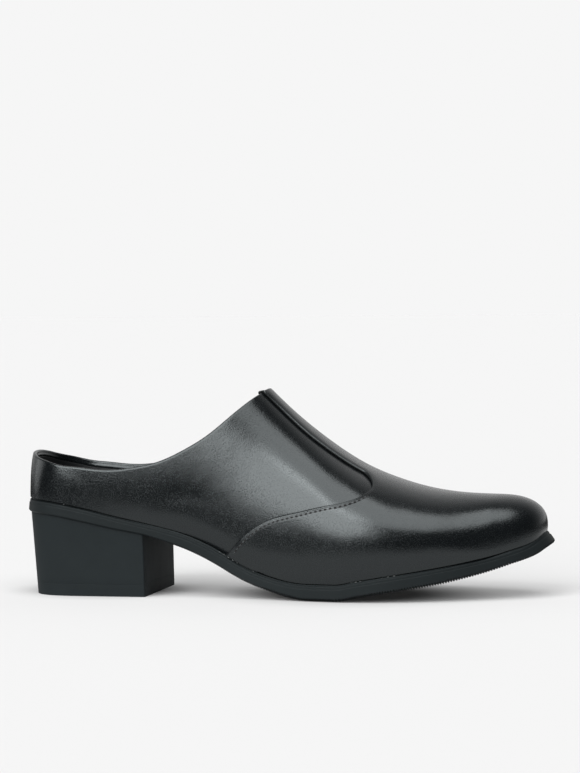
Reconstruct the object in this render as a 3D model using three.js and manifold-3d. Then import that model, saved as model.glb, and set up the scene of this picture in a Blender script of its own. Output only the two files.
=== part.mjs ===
// Heeled mule: a backless leather slip-on with a block heel and a strap of the vamp up the instep.
// This is the right shoe, in millimetres, +Z up. The toe points along +X and the outer side faces -Y.
// The floor is z = 0. While the pieces are made, x = 0 is the back of the outsole's upper edge and
// y = 0 runs through the middle of the heel. The finished shoe is then centred over the origin.
import * as THREE from "three";
import { mergeVertices } from "three/addons/utils/BufferGeometryUtils.js";
import Module from "manifold-3d";

// Driving dimensions
const SOLE_LENGTH = 256.8; // outsole's upper edge, back to toe, along the floor
const BALL_WIDTH = 80; // outsole's upper edge, across the ball
const HEEL_RISE = 39.5; // outsole's upper face at the back, over that under the ball
const TOE_SPRING = 24.2; // the same at the toe tip
const INSTEP_RISE = 91; // ridge of the quarters at the throat, over the outsole under the ball
const SOLE_THICKNESS = 8.1; // under the ball
const SOLE_BEVEL_RISE = 1.1; // bevel along the outsole's lower edge, in front of the heel
const SOLE_BEVEL_RUN = 2.4;
const SOLE_LEDGE = 0.5; // how far the upper band of the sole's side stands back from the lower one
const SOLE_BAND = 2.2; // height of that upper band
const UPPER_WALL = 1.8; // quarter leather and lining
const VAMP_LEATHER = 1.5; // vamp, lapped over the quarters
const SEAT_GAP = 0.35; // glue line between neighbouring pieces
const SWELL = 2.2; // how far the upper's wall stands out over its own lower edge, at the ball
const SWELL_HEIGHT = 13; // how high the wall is fullest, on a tall section
const SWELL_EASE = 14; // section height at which that place drops to half
const STRAP_WIDTH = 28; // strap up the instep, where it opens into the vamp
const STRAP_OVERHANG = 2.6; // how far the strap's end reaches past the quarters at the throat
const TIP_ROUND = 8; // length of the rounded front end of each quarter
const INSOLE_THICKNESS = 3;
const INSOLE_GAP = 0.5; // between the insole's edge and the lining
const HEEL_BREAST = 64.5; // front of the heel block, from the back, under the outsole
const HEEL_SETBACK = 1; // the heel block's top edge inside the outsole's side
const HEEL_BREAST_LEAN = 0.7; // how far the breast leans forwards on its way down
const HEEL_BACK_LEAN = 2.7; // how far the heel's back leans forwards on its way down
const HEEL_SIDE_TAPER = 0.02; // share of its width that the heel loses on its way down
const TUCK_HEIGHT = 24; // over this height the upper grows rounder round the heel than its lower edge
const TOP_LIFT = 6; // rubber top lift that meets the floor

// Height of the outsole's line, as shares of HEEL_RISE and TOE_SPRING, and its thickness as a share
// of SOLE_THICKNESS. The level stretch is the flat spot under the ball that stands on the floor.
const SOLE_LINE = [
  { at: 0.0, rise: 1.0, spring: 0, thick: 0.8 },
  { at: 0.06, rise: 0.966, spring: 0, thick: 0.8 },
  { at: 0.127, rise: 0.888, spring: 0, thick: 0.8 },
  { at: 0.193, rise: 0.786, spring: 0, thick: 0.74 },
  { at: 0.254, rise: 0.698, spring: 0, thick: 0.67 },
  { at: 0.324, rise: 0.578, spring: 0, thick: 0.8 },
  { at: 0.37, rise: 0.456, spring: 0, thick: 0.83 },
  { at: 0.405, rise: 0.335, spring: 0, thick: 0.82 },
  { at: 0.43, rise: 0.24, spring: 0, thick: 0.81 },
  { at: 0.46, rise: 0.146, spring: 0, thick: 0.81 },
  { at: 0.5, rise: 0.062, spring: 0, thick: 0.85 },
  { at: 0.535, rise: 0.016, spring: 0, thick: 0.93 },
  { at: 0.565, rise: 0, spring: 0, thick: 1.0 },
  { at: 0.62, rise: 0, spring: 0, thick: 1.0 },
  { at: 0.66, rise: 0, spring: 0.072, thick: 1.0 },
  { at: 0.7, rise: 0, spring: 0.145, thick: 1.0 },
  { at: 0.75, rise: 0, spring: 0.229, thick: 1.0 },
  { at: 0.8, rise: 0, spring: 0.3185, thick: 0.99 },
  { at: 0.85, rise: 0, spring: 0.4145, thick: 0.92 },
  { at: 0.9, rise: 0, spring: 0.5305, thick: 0.83 },
  { at: 0.94, rise: 0, spring: 0.651, thick: 0.77 },
  { at: 0.97, rise: 0, spring: 0.768, thick: 0.77 },
  { at: 1.0, rise: 0, spring: 1.0, thick: 0.77 },
];

// Sections of the last between its two end poles. outer and inner are the outsole's half widths and
// spine the place of the ridge, as shares of BALL_WIDTH. ridge is its height over the outsole under
// the ball as a share of INSTEP_RISE, and behind the throat it is where the collar's walls would meet.
// outerFull and innerFull say how square the section's two shoulders are: 2 is an ellipse.
// inset is how far the upper's lower edge stands in from the outsole's, and swell the wall's share of SWELL.
const LAST = [
  { at: 0.105, outer: 0.372, inner: 0.366, spine: 0.0, ridge: 0.959, outerFull: 2.2, innerFull: 2.2, inset: 0.004, swell: 0.05 },
  { at: 0.18, outer: 0.374, inner: 0.382, spine: 0.0, ridge: 1.111, outerFull: 2.2, innerFull: 2.2, inset: 0.01, swell: 0.3 },
  { at: 0.28, outer: 0.37, inner: 0.412, spine: 0.004, ridge: 1.214, outerFull: 2.15, innerFull: 2.2, inset: 0.02, swell: 0.65 },
  { at: 0.385, outer: 0.37, inner: 0.335, spine: 0.015, ridge: 1.197, outerFull: 2.1, innerFull: 2.15, inset: 0.036, swell: 0.95 },
  { at: 0.43, outer: 0.38, inner: 0.3, spine: 0.022, ridge: 1.102, outerFull: 2.1, innerFull: 2.15, inset: 0.038, swell: 1.0 },
  { at: 0.475, outer: 0.402, inner: 0.312, spine: 0.028, ridge: 0.977, outerFull: 2.1, innerFull: 2.15, inset: 0.04, swell: 1.0 },
  { at: 0.52, outer: 0.43, inner: 0.345, spine: 0.035, ridge: 0.859, outerFull: 2.1, innerFull: 2.2, inset: 0.04, swell: 1.0 },
  { at: 0.57, outer: 0.463, inner: 0.402, spine: 0.04, ridge: 0.7413, outerFull: 2.1, innerFull: 2.2, inset: 0.04, swell: 1.0 },
  { at: 0.61, outer: 0.485, inner: 0.445, spine: 0.043, ridge: 0.66, outerFull: 2.1, innerFull: 2.25, inset: 0.04, swell: 1.0 },
  { at: 0.65, outer: 0.497, inner: 0.477, spine: 0.046, ridge: 0.5957, outerFull: 2.1, innerFull: 2.3, inset: 0.04, swell: 1.0 },
  { at: 0.71, outer: 0.49, inner: 0.503, spine: 0.05, ridge: 0.516, outerFull: 2.1, innerFull: 2.35, inset: 0.04, swell: 0.95 },
  { at: 0.78, outer: 0.445, inner: 0.497, spine: 0.052, ridge: 0.464, outerFull: 2.12, innerFull: 2.35, inset: 0.038, swell: 0.85 },
  { at: 0.85, outer: 0.37, inner: 0.45, spine: 0.052, ridge: 0.444, outerFull: 2.15, innerFull: 2.3, inset: 0.037, swell: 0.55 },
  { at: 0.905, outer: 0.292, inner: 0.385, spine: 0.05, ridge: 0.4395, outerFull: 2.2, innerFull: 2.3, inset: 0.04, swell: 0.25 },
];
const HEEL_POLE = LAST[0].at;
const TOE_POLE = LAST[LAST.length - 1].at;
const TOE_FULLNESS = { side: 0.62, tip: 0.6 }; // plan curve round the toe, where 0.55 is an ellipse
const HEEL_FULLNESS = { side: 0.68, tip: 0.76 };
const HEEL_TUCK = 0.065; // share of its reach that the upper gives up above the heel's two rear corners
const TOE_DRIFT = 0.01; // the toe tip's place towards the inner side of the spine, as a share of BALL_WIDTH

// Topline of the collar, as heights over the outsole under the ball in shares of INSTEP_RISE.
const TOPLINE = [
  { at: 0.0, over: 0.69 },
  { at: 0.02, over: 0.662 },
  { at: 0.045, over: 0.641 },
  { at: 0.07, over: 0.626 },
  { at: 0.09, over: 0.6155 },
  { at: 0.115, over: 0.605 },
  { at: 0.15, over: 0.5945 },
  { at: 0.19, over: 0.5915 },
  { at: 0.232, over: 0.606 },
  { at: 0.28, over: 0.638 },
  { at: 0.328, over: 0.697 },
  { at: 0.376, over: 0.783 },
  { at: 0.415, over: 0.88 },
  { at: 0.455, over: 0.984 },
  { at: 0.5, over: 1.09 },
];
const COLLAR_TILT = 0.01; // fall of the topline towards the inner side, per mm across

// Lower edge of each quarter where the vamp laps over it, as heights over the outsole's edge there
// in shares of INSTEP_RISE.
const SEAM = [
  { at: 0.408, over: 0.0 },
  { at: 0.414, over: 0.028 },
  { at: 0.421, over: 0.064 },
  { at: 0.4365, over: 0.136 },
  { at: 0.4625, over: 0.23 },
  { at: 0.4885, over: 0.2955 },
  { at: 0.5145, over: 0.338 },
  { at: 0.5405, over: 0.366 },
  { at: 0.566, over: 0.3865 },
  { at: 0.591, over: 0.402 },
  { at: 0.615, over: 0.414 },
  { at: 0.64, over: 0.4205 },
  { at: 0.663, over: 0.4245 },
  { at: 0.69, over: 0.428 },
];
const SEAM_START = SEAM[0].at;

// Half the width of the strap up the instep, to each side of the ridge, in shares of STRAP_WIDTH.
const STRAP = [
  { at: 0.44, half: 0.293 },
  { at: 0.49, half: 0.3 },
  { at: 0.55, half: 0.389 },
  { at: 0.61, half: 0.439 },
  { at: 0.69, half: 0.5 },
];
const QUARTER_TIP = 0.685; // where strap and seam meet, as a share of SOLE_LENGTH
const TIP_BIAS = 0.35; // how near the rounded tip's point lies to the seam, 0, or the strap, 1

const HALF_TURN = Math.PI;
const QUARTER_TURN = Math.PI / 2;
const SWELL_SHARE = 0.16; // share of a section's rows below its fullest place
const BEVEL_FROM = 4; // in front of the breast, where the outsole's bevel starts, in mm
const BEVEL_GROWS = 26; // and the length over which it grows
const BEVEL_FADES = { from: 0.84, to: 0.95, left: 0.2 }; // towards the toe, in shares of the length
const SOLE_SHELVES = [3, 7]; // rings on the outsole's upper face, in mm from its edge
const SOLE_RINGS = [0.55, 0.3]; // and in shares of the way out from the spine
const INSOLE_RINGS = [0, 0.3, 0.55, 0.78, 1];
const HEEL_RINGS = [0, 0.6, 1];

// Smooth curves through the tables

/** A natural cubic spline through one column of a table, as a function of the share of the length. */
function smoothColumn(rows, name) {
  const x = rows.map((row) => row.at);
  const y = rows.map((row) => row[name]);
  const last = x.length - 1;
  const bend = new Array(x.length).fill(0);
  const pivot = new Array(x.length).fill(0);
  for (let i = 1; i < last; i++) {
    const share = (x[i] - x[i - 1]) / (x[i + 1] - x[i - 1]);
    const p = share * bend[i - 1] + 2;
    const jump = (y[i + 1] - y[i]) / (x[i + 1] - x[i]) - (y[i] - y[i - 1]) / (x[i] - x[i - 1]);
    bend[i] = (share - 1) / p;
    pivot[i] = ((6 * jump) / (x[i + 1] - x[i - 1]) - share * pivot[i - 1]) / p;
  }
  for (let i = last - 1; i >= 0; i--) bend[i] = bend[i] * bend[i + 1] + pivot[i];
  return (at) => {
    let i = 0;
    while (i < last - 1 && at > x[i + 1]) i++;
    const step = x[i + 1] - x[i];
    const a = (x[i + 1] - at) / step;
    const b = 1 - a;
    const sway = ((a ** 3 - a) * bend[i] + (b ** 3 - b) * bend[i + 1]) * (step * step) / 6;
    return a * y[i] + b * y[i + 1] + sway;
  };
}

/** A curve through one column that never swings past its rows, so level rows stay level. */
function steadyColumn(rows, name) {
  const x = rows.map((row) => row.at);
  const y = rows.map((row) => row[name]);
  const last = x.length - 1;
  const slope = (i) => (y[i + 1] - y[i]) / (x[i + 1] - x[i]);
  const tangent = x.map((_, i) => {
    if (i === 0) return slope(0);
    if (i === last) return slope(last - 1);
    const before = slope(i - 1);
    const after = slope(i);
    return before * after <= 0 ? 0 : (2 * before * after) / (before + after);
  });
  return (at) => {
    let i = 0;
    while (i < last - 1 && at > x[i + 1]) i++;
    const step = x[i + 1] - x[i];
    const t = (at - x[i]) / step;
    const rise = t * t * (3 - 2 * t);
    const lead = t * (1 - t) * (1 - t) * tangent[i] * step;
    const tail = t * t * (t - 1) * tangent[i + 1] * step;
    return y[i] * (1 - rise) + y[i + 1] * rise + lead + tail;
  };
}

const riseAt = steadyColumn(SOLE_LINE, "rise");
const springAt = steadyColumn(SOLE_LINE, "spring");
const thickAt = steadyColumn(SOLE_LINE, "thick");
const lastAt = {};
for (const name of Object.keys(LAST[0])) lastAt[name] = smoothColumn(LAST, name);
const toplineAt = smoothColumn(TOPLINE, "over");
const seamAt = smoothColumn(SEAM, "over");
const strapAt = smoothColumn(STRAP, "half");

/** Height of the outsole's upper face at x. */
function soleTop(x) {
  const at = x / SOLE_LENGTH;
  return SOLE_THICKNESS + riseAt(at) * HEEL_RISE + springAt(at) * TOE_SPRING;
}

/** The point that lies `depth` below the outsole's upper face, square to it. */
function underSole(x, y, depth) {
  const reach = SOLE_LENGTH / 1000;
  const slope = (soleTop(x + reach) - soleTop(x - reach)) / (2 * reach);
  const length = Math.hypot(slope, 1);
  return new THREE.Vector3(x + (slope * depth) / length, y, soleTop(x) - depth / length);
}

// The last. A place round it is one number: 0 to 1 runs up the outer side, 1 to 2 round the toe,
// 2 to 3 back down the inner side and 3 to 4 round the heel.

/** Spine share and compass turn of a place round the last. */
function stationOf(place) {
  const q = ((place % 4) + 4) % 4;
  const side = Math.floor(q);
  const part = q - side;
  if (side === 0) return { at: THREE.MathUtils.lerp(HEEL_POLE, TOE_POLE, part), turn: -QUARTER_TURN };
  if (side === 1) return { at: TOE_POLE, turn: -QUARTER_TURN + HALF_TURN * part };
  if (side === 2) return { at: THREE.MathUtils.lerp(TOE_POLE, HEEL_POLE, part), turn: QUARTER_TURN };
  return { at: HEEL_POLE, turn: QUARTER_TURN + HALF_TURN * part };
}

/** The place on one side of the last at a share of the length: side -1 is outer and 1 is inner. */
function placeAt(at, side) {
  const part = (at - HEEL_POLE) / (TOE_POLE - HEEL_POLE);
  return side < 0 ? part : 3 - part;
}

/** One end of the plan outline: a curve from the side at the pole to the tip, at part 0 to 1. */
function endCurve(part, half, slope, reach, tip, fullness) {
  const from = new THREE.Vector2(0, half);
  const to = new THREE.Vector2(reach, tip);
  const lead = from.clone().add(new THREE.Vector2(1, slope).setLength(fullness.side * reach));
  const tail = to.clone().add(new THREE.Vector2(0, fullness.tip * (half - tip)));
  const curve = new THREE.CubicBezierCurve(from, lead, tail, to);
  return { point: curve.getPoint(part), tangent: curve.getTangent(part) };
}

/** A point of the plan outline, `inset` inside the outsole's upper edge, with its spine point. */
function planPoint(place, inset) {
  const { at, turn } = stationOf(place);
  const side = Math.sin(turn) < 0 ? "outer" : "inner";
  const hand = side === "outer" ? -1 : 1;
  const spineX = at * SOLE_LENGTH;
  const spineY = lastAt.spine(at) * BALL_WIDTH;
  const half = lastAt[side](at) * BALL_WIDTH - hand * spineY;
  const step = 0.002;
  const flare = (lastAt[side](at + step) - lastAt[side](at - step)) / (2 * step);
  const spineFlare = (lastAt.spine(at + step) - lastAt.spine(at - step)) / (2 * step);
  const slope = ((flare - hand * spineFlare) * BALL_WIDTH) / SOLE_LENGTH;
  if (Math.abs(Math.cos(turn)) < 1e-9) {
    const shrink = inset / Math.hypot(1, slope);
    return { x: spineX + shrink * slope, y: spineY + hand * (half - shrink), spineX, spineY };
  }
  const toe = at > 0.5;
  const ahead = toe ? 1 : -1;
  const part = 1 - Math.asin(Math.abs(Math.sin(turn))) / QUARTER_TURN;
  const reach = toe ? SOLE_LENGTH - spineX : spineX;
  const tip = toe ? hand * TOE_DRIFT * BALL_WIDTH : 0;
  const { point, tangent } = endCurve(part, half, ahead * slope, reach, tip, toe ? TOE_FULLNESS : HEEL_FULLNESS);
  return {
    x: spineX + ahead * (point.x + inset * tangent.y),
    y: spineY + hand * (point.y - inset * tangent.x),
    spineX,
    spineY,
  };
}

/** Height of the last's ridge at a share of the length. */
function ridgeHeight(at) {
  return SOLE_THICKNESS + lastAt.ridge(at) * INSTEP_RISE;
}

/** Everything that shapes one section of the upper, from its lower edge up to the ridge. */
function sectionAt(place) {
  const { at, turn } = stationOf(place);
  const inner = (1 + Math.sin(turn)) / 2;
  const edge = planPoint(place, lastAt.inset(at) * BALL_WIDTH);
  const reach = Math.hypot(edge.x - edge.spineX, edge.y - edge.spineY);
  const foot = soleTop(edge.x) + SEAT_GAP;
  const height = ridgeHeight(at) - foot;
  return {
    edge,
    reach,
    foot,
    height,
    dirX: (edge.x - edge.spineX) / reach,
    dirY: (edge.y - edge.spineY) / reach,
    swell: SWELL * lastAt.swell(at),
    full: THREE.MathUtils.lerp(lastAt.outerFull(at), lastAt.innerFull(at), inner),
    fullest: (SWELL_HEIGHT * height) / (height + SWELL_EASE),
    tuck: at < 0.5 ? HEEL_TUCK * Math.sin(2 * turn) ** 2 : 0,
  };
}

/** A point of the quarters' outer face: v runs from 0 at the lower edge to 1 on the ridge. */
function lastPoint(place, v) {
  const s = sectionAt(place);
  let out;
  let up;
  if (v <= SWELL_SHARE) {
    out = s.reach + s.swell * Math.sin((v / SWELL_SHARE) * QUARTER_TURN);
    up = (s.fullest * v) / SWELL_SHARE;
  } else {
    const angle = ((v - SWELL_SHARE) / (1 - SWELL_SHARE)) * QUARTER_TURN;
    out = (s.reach + s.swell) * Math.max(0, Math.cos(angle)) ** (2 / s.full);
    up = s.fullest + (s.height - s.fullest) * Math.sin(angle) ** (2 / s.full);
  }
  if (v >= 1) out = 0;
  out *= 1 - s.tuck * THREE.MathUtils.smoothstep(up, 0, TUCK_HEIGHT);
  return new THREE.Vector3(s.edge.spineX + s.dirX * out, s.edge.spineY + s.dirY * out, s.foot + up);
}

/** The v of a section that lies `over` above its lower edge. */
function rowAtHeight(place, over) {
  const s = sectionAt(place);
  if (over <= s.fullest) return (SWELL_SHARE * Math.max(0, over)) / s.fullest;
  const share = Math.min(1, (over - s.fullest) / (s.height - s.fullest));
  return SWELL_SHARE + (1 - SWELL_SHARE) * (Math.asin(share ** (s.full / 2)) / QUARTER_TURN);
}

/** The v of a section that lies `out` from the ridge, seen from above. */
function rowAtReach(place, out) {
  const s = sectionAt(place);
  const share = Math.min(1, out / (s.reach + s.swell));
  return SWELL_SHARE + (1 - SWELL_SHARE) * (Math.acos(share ** (s.full / 2)) / QUARTER_TURN);
}

/** The outward normal of the last at a place and row. */
function lastNormal(place, v) {
  const side = 1e-3;
  const row = 1e-3;
  if (v >= 1) {
    const { at } = stationOf(place);
    const slope = (ridgeHeight(at + side) - ridgeHeight(at - side)) / (2 * side * SOLE_LENGTH);
    return new THREE.Vector3(-slope, 0, 1).normalize();
  }
  const across = lastPoint(place + side, v).sub(lastPoint(place - side, v));
  if (v <= 0) return new THREE.Vector3(across.y, -across.x, 0).normalize();
  const along = lastPoint(place, Math.min(1, v + row)).sub(lastPoint(place, v - row));
  return across.cross(along).normalize();
}

/** A point `offset` outside the quarters' outer face. The lower edge stays on the outsole. */
function skinPoint(place, v, offset) {
  const point = lastPoint(place, v).addScaledVector(lastNormal(place, v), offset);
  if (v <= 0) point.z = soleTop(point.x) + SEAT_GAP;
  return point;
}

// Solids

const wasm = await Module();
wasm.setup();

/** A closed three.js geometry as a manifold solid. */
function solidFrom(geometry) {
  const bare = new THREE.BufferGeometry();
  bare.setAttribute("position", geometry.getAttribute("position").clone());
  if (geometry.index) bare.setIndex(geometry.index.clone());
  const merged = mergeVertices(bare, 1e-4);
  const index = merged.index.array;
  const kept = [];
  for (let i = 0; i < index.length; i += 3) {
    const [a, b, c] = [index[i], index[i + 1], index[i + 2]];
    if (a !== b && b !== c && c !== a) kept.push(a, b, c);
  }
  return new wasm.Manifold(
    new wasm.Mesh({
      numProp: 3,
      vertProperties: new Float32Array(merged.attributes.position.array),
      triVerts: new Uint32Array(kept),
    }),
  );
}

/** A manifold solid as a three.js geometry. */
function geometryFrom(solid) {
  const mesh = solid.getMesh();
  const geometry = new THREE.BufferGeometry();
  geometry.setAttribute("position", new THREE.BufferAttribute(new Float32Array(mesh.vertProperties), 3));
  geometry.setIndex(new THREE.BufferAttribute(new Uint32Array(mesh.triVerts), 1));
  geometry.computeVertexNormals();
  return geometry;
}

/** Quads between neighbouring lines of points, as one geometry. A closed run joins its last line to its first. */
function skinLines(lines, closed) {
  const points = lines.flat();
  const rows = lines[0].length;
  const index = [];
  const spans = closed ? lines.length : lines.length - 1;
  for (let i = 0; i < spans; i++) {
    const here = i * rows;
    const next = ((i + 1) % lines.length) * rows;
    for (let j = 0; j < rows - 1; j++) {
      index.push(here + j, next + j, next + j + 1, here + j, next + j + 1, here + j + 1);
    }
  }
  if (!closed) {
    // The flat end face between the first line and the last, which share their end points.
    const far = (lines.length - 1) * rows;
    for (let j = 0; j < rows - 1; j++) {
      index.push(far + j, j, j + 1, far + j, j + 1, far + j + 1);
    }
  }
  const geometry = new THREE.BufferGeometry().setFromPoints(points);
  geometry.setIndex(index);
  return geometry;
}

/** Places round the last: side stations on both sides, and a fan of them round each end. */
function placesRound(sideSteps, toeSteps, heelSteps) {
  const steps = [sideSteps, toeSteps, sideSteps, heelSteps];
  const places = [];
  steps.forEach((count, side) => {
    for (let i = 0; i < count; i++) places.push(side + i / count);
  });
  return places;
}

const SIDE_STEPS = 28;
const TOE_STEPS = 12;
const HEEL_STEPS = 10;
const PLACES = placesRound(SIDE_STEPS, TOE_STEPS, HEEL_STEPS);
const SWELL_ROWS = 2;
const CROWN_ROWS = 10;
const ROWS = [];
for (let i = 0; i < SWELL_ROWS; i++) ROWS.push((SWELL_SHARE * i) / SWELL_ROWS);
for (let i = 0; i <= CROWN_ROWS; i++) ROWS.push(SWELL_SHARE + ((1 - SWELL_SHARE) * i) / CROWN_ROWS);

/** The last as a closed solid, `offset` outside the quarters' face and `drop` below its lower edge. */
function lastSolid(offset, drop) {
  const lines = PLACES.map((place) => {
    const wall = ROWS.map((v) => skinPoint(place, v, offset));
    const foot = wall[0].clone();
    const { spineX, spineY } = planPoint(place, 0);
    foot.z -= drop;
    const spine = new THREE.Vector3(spineX, spineY, soleTop(spineX) + SEAT_GAP - drop);
    return drop > 0 ? [spine, foot, ...wall] : [spine, ...wall];
  });
  return solidFrom(skinLines(lines, true));
}

/** Everything above the topline, `back` further to the rear. */
function collarCutter(back) {
  const reach = 40;
  const ceiling = 2 * (HEEL_RISE + SOLE_THICKNESS + INSTEP_RISE);
  const steps = 48;
  const first = TOPLINE[0].at;
  const front = TOPLINE[TOPLINE.length - 1].at;
  const shape = new THREE.Shape();
  const height = (at) => SOLE_THICKNESS + toplineAt(at) * INSTEP_RISE;
  shape.moveTo(-reach - back, height(first));
  for (let i = 0; i <= steps; i++) {
    const at = THREE.MathUtils.lerp(first, front, i / steps);
    shape.lineTo(at * SOLE_LENGTH - back, height(at));
  }
  shape.lineTo(front * SOLE_LENGTH - back, ceiling);
  shape.lineTo(-reach - back, ceiling);
  shape.closePath();
  const prism = new THREE.ExtrudeGeometry(shape, { depth: 2 * BALL_WIDTH, bevelEnabled: false, steps: 1 });
  prism.rotateX(QUARTER_TURN);
  prism.translate(0, BALL_WIDTH, 0);
  prism.applyMatrix4(new THREE.Matrix4().makeShear(0, 0, 0, -COLLAR_TILT, 0, 0));
  return solidFrom(prism);
}

/** The quarter's rows at one station: from the seam to the strap's edge, closing in a rounded tip. */
function quarterRows(at, side) {
  const place = placeAt(at, side);
  const low = rowAtHeight(place, seamAt(Math.max(at, SEAM_START)) * INSTEP_RISE);
  const high = rowAtReach(place, strapAt(Math.max(at, STRAP[0].at)) * STRAP_WIDTH);
  const into = 1 - ((QUARTER_TIP - at) * SOLE_LENGTH) / TIP_ROUND;
  const open = into <= 0 ? 1 : Math.sqrt(Math.max(0, 1 - into * into));
  const point = THREE.MathUtils.lerp(low, high, TIP_BIAS);
  return {
    low: THREE.MathUtils.lerp(point, low, open),
    high: THREE.MathUtils.lerp(point, high, open),
  };
}

/** A thick block that follows one quarter in front of the seam's start, to cut it out of the vamp. */
function quarterCutter(side) {
  const stations = 34;
  const across = 6;
  const inside = -2 * UPPER_WALL;
  const outside = 3 * VAMP_LEATHER;
  const start = SEAM_START - 0.012;
  const lines = [];
  for (let i = 0; i <= stations; i++) {
    const share = 1 - (1 - i / stations) ** 1.6;
    const at = THREE.MathUtils.lerp(start, QUARTER_TIP, share);
    const place = placeAt(at, side);
    const { low, high } = quarterRows(at, side);
    const ring = [];
    for (const offset of [inside, outside]) {
      for (let j = 0; j <= across; j++) {
        const part = offset === inside ? j / across : 1 - j / across;
        const v = THREE.MathUtils.lerp(low, high, part);
        ring.push(lastPoint(place, v).addScaledVector(lastNormal(place, v), offset));
      }
    }
    lines.push(ring);
  }
  const count = lines[0].length;
  const index = [];
  for (let i = 0; i < stations; i++) {
    for (let j = 0; j < count; j++) {
      const k = (j + 1) % count;
      const [a, b, c, d] = [i * count + j, i * count + k, (i + 1) * count + k, (i + 1) * count + j];
      index.push(a, b, c, a, c, d);
    }
  }
  for (let j = 1; j < count - 1; j++) {
    index.push(0, j + 1, j);
    const tip = stations * count;
    index.push(tip, tip + j, tip + j + 1);
  }
  if (side > 0) {
    for (let i = 0; i < index.length; i += 3) [index[i + 1], index[i + 2]] = [index[i + 2], index[i + 1]];
  }
  const geometry = new THREE.BufferGeometry().setFromPoints(lines.flat());
  geometry.setIndex(index);
  return solidFrom(geometry);
}

/** Everything behind the place where the seam meets the outsole. */
function rearCutter() {
  const front = SEAM_START * SOLE_LENGTH;
  const box = new THREE.BoxGeometry(2 * SOLE_LENGTH, 3 * BALL_WIDTH, 6 * INSTEP_RISE);
  box.translate(front - SOLE_LENGTH, 0, 0);
  return solidFrom(box);
}

/** Quarters and lining: one hollow wall, open at the collar and underneath. */
function makeUpper() {
  const hollow = lastSolid(-UPPER_WALL, 3 * UPPER_WALL);
  return geometryFrom(lastSolid(0, 0).subtract(hollow).subtract(collarCutter(0)));
}

/** The vamp with its strap up the instep, lapped over the quarters. */
function makeVamp() {
  const shell = lastSolid(SEAT_GAP + VAMP_LEATHER, 0).subtract(lastSolid(SEAT_GAP, 3 * UPPER_WALL));
  const cutters = [collarCutter(STRAP_OVERHANG), rearCutter(), quarterCutter(-1), quarterCutter(1)];
  return geometryFrom(cutters.reduce((solid, cutter) => solid.subtract(cutter), shell));
}

/** How thick the outsole is at x, square to its upper face. */
function soleThickness(x) {
  return SOLE_THICKNESS * thickAt(x / SOLE_LENGTH);
}

/** The points of one line round the outsole, from the middle of its underside to the middle of its top. */
function soleLine(place) {
  const { spineX, spineY } = planPoint(place, 0);
  const along = planPoint(place, 0).x;
  const first = HEEL_BREAST + BEVEL_FROM;
  const start = THREE.MathUtils.smoothstep(along, first, first + BEVEL_GROWS);
  const finish = THREE.MathUtils.smoothstep(along / SOLE_LENGTH, BEVEL_FADES.from, BEVEL_FADES.to);
  const bevel = start * THREE.MathUtils.lerp(1, BEVEL_FADES.left, finish);
  const run = THREE.MathUtils.lerp(HEEL_SETBACK / 2, SOLE_BEVEL_RUN, bevel);
  const rise = THREE.MathUtils.lerp(HEEL_SETBACK / 2, SOLE_BEVEL_RISE, bevel);
  const low = planPoint(place, run);
  const side = planPoint(place, 0);
  const band = planPoint(place, SOLE_LEDGE);
  const towards = (share) => ({
    x: THREE.MathUtils.lerp(spineX, low.x, share),
    y: THREE.MathUtils.lerp(spineY, low.y, share),
  });
  const under = (p, lift) => underSole(p.x, p.y, soleThickness(p.x) - lift);
  const over = (p, depth) => underSole(p.x, p.y, depth);
  const middle = { x: spineX, y: spineY };
  return [
    under(middle, 0),
    under(towards(0.5), 0),
    under(low, 0),
    under(side, rise),
    over(side, SOLE_BAND),
    over(band, SOLE_BAND),
    over(band, 0),
    ...SOLE_SHELVES.map((inset) => over(planPoint(place, inset), 0)),
    ...SOLE_RINGS.map((share) => over(towards(share), 0)),
    over(middle, 0),
  ];
}

/** The outsole: heel seat, waist, ball and sprung toe, with a stepped side. */
function makeOutsole() {
  return geometryFrom(solidFrom(skinLines(PLACES.map(soleLine), true)));
}

/** The insole that lies on the outsole inside the upper. */
function makeInsole() {
  const lines = PLACES.map((place) => {
    const { at } = stationOf(place);
    const inset = lastAt.inset(at) * BALL_WIDTH + UPPER_WALL + INSOLE_GAP;
    const edge = planPoint(place, inset);
    const { spineX, spineY } = edge;
    const level = (share, up) => {
      const x = THREE.MathUtils.lerp(spineX, edge.x, share);
      const y = THREE.MathUtils.lerp(spineY, edge.y, share);
      return underSole(x, y, -up);
    };
    const under = INSOLE_RINGS.map((share) => level(share, SEAT_GAP));
    const over = INSOLE_RINGS.map((share) => level(share, SEAT_GAP + INSOLE_THICKNESS)).reverse();
    return [...under, ...over];
  });
  return geometryFrom(solidFrom(skinLines(lines, true)));
}

/** Places round the heel from the outer end of the breast, past the back, to the inner end. */
function heelPlaces() {
  const breast = HEEL_BREAST / SOLE_LENGTH;
  const steps = 5;
  const places = [];
  for (let i = 0; i < steps; i++) {
    places.push(placeAt(THREE.MathUtils.lerp(breast, HEEL_POLE, i / steps), 1));
  }
  for (let i = 0; i < HEEL_STEPS; i++) places.push(3 + i / HEEL_STEPS);
  for (let i = 0; i <= steps; i++) {
    places.push(placeAt(THREE.MathUtils.lerp(HEEL_POLE, breast, i / steps), -1));
  }
  return places;
}

/** A point of the heel's side at height z, on the straight line from the outsole down to the floor. */
function heelPoint(place, share, z) {
  const edge = planPoint(place, HEEL_SETBACK);
  const x = THREE.MathUtils.lerp(edge.spineX, edge.x, share);
  const y = THREE.MathUtils.lerp(edge.spineY, edge.y, share);
  const top = underSole(x, y, soleThickness(x) + SEAT_GAP);
  const forward = x / HEEL_BREAST;
  const floor = new THREE.Vector3(
    x + THREE.MathUtils.lerp(HEEL_BACK_LEAN, HEEL_BREAST_LEAN, forward) + (top.x - x) * forward,
    y * (1 - HEEL_SIDE_TAPER),
    0,
  );
  return z === null ? top : floor.lerp(top, z / top.z);
}

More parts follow.
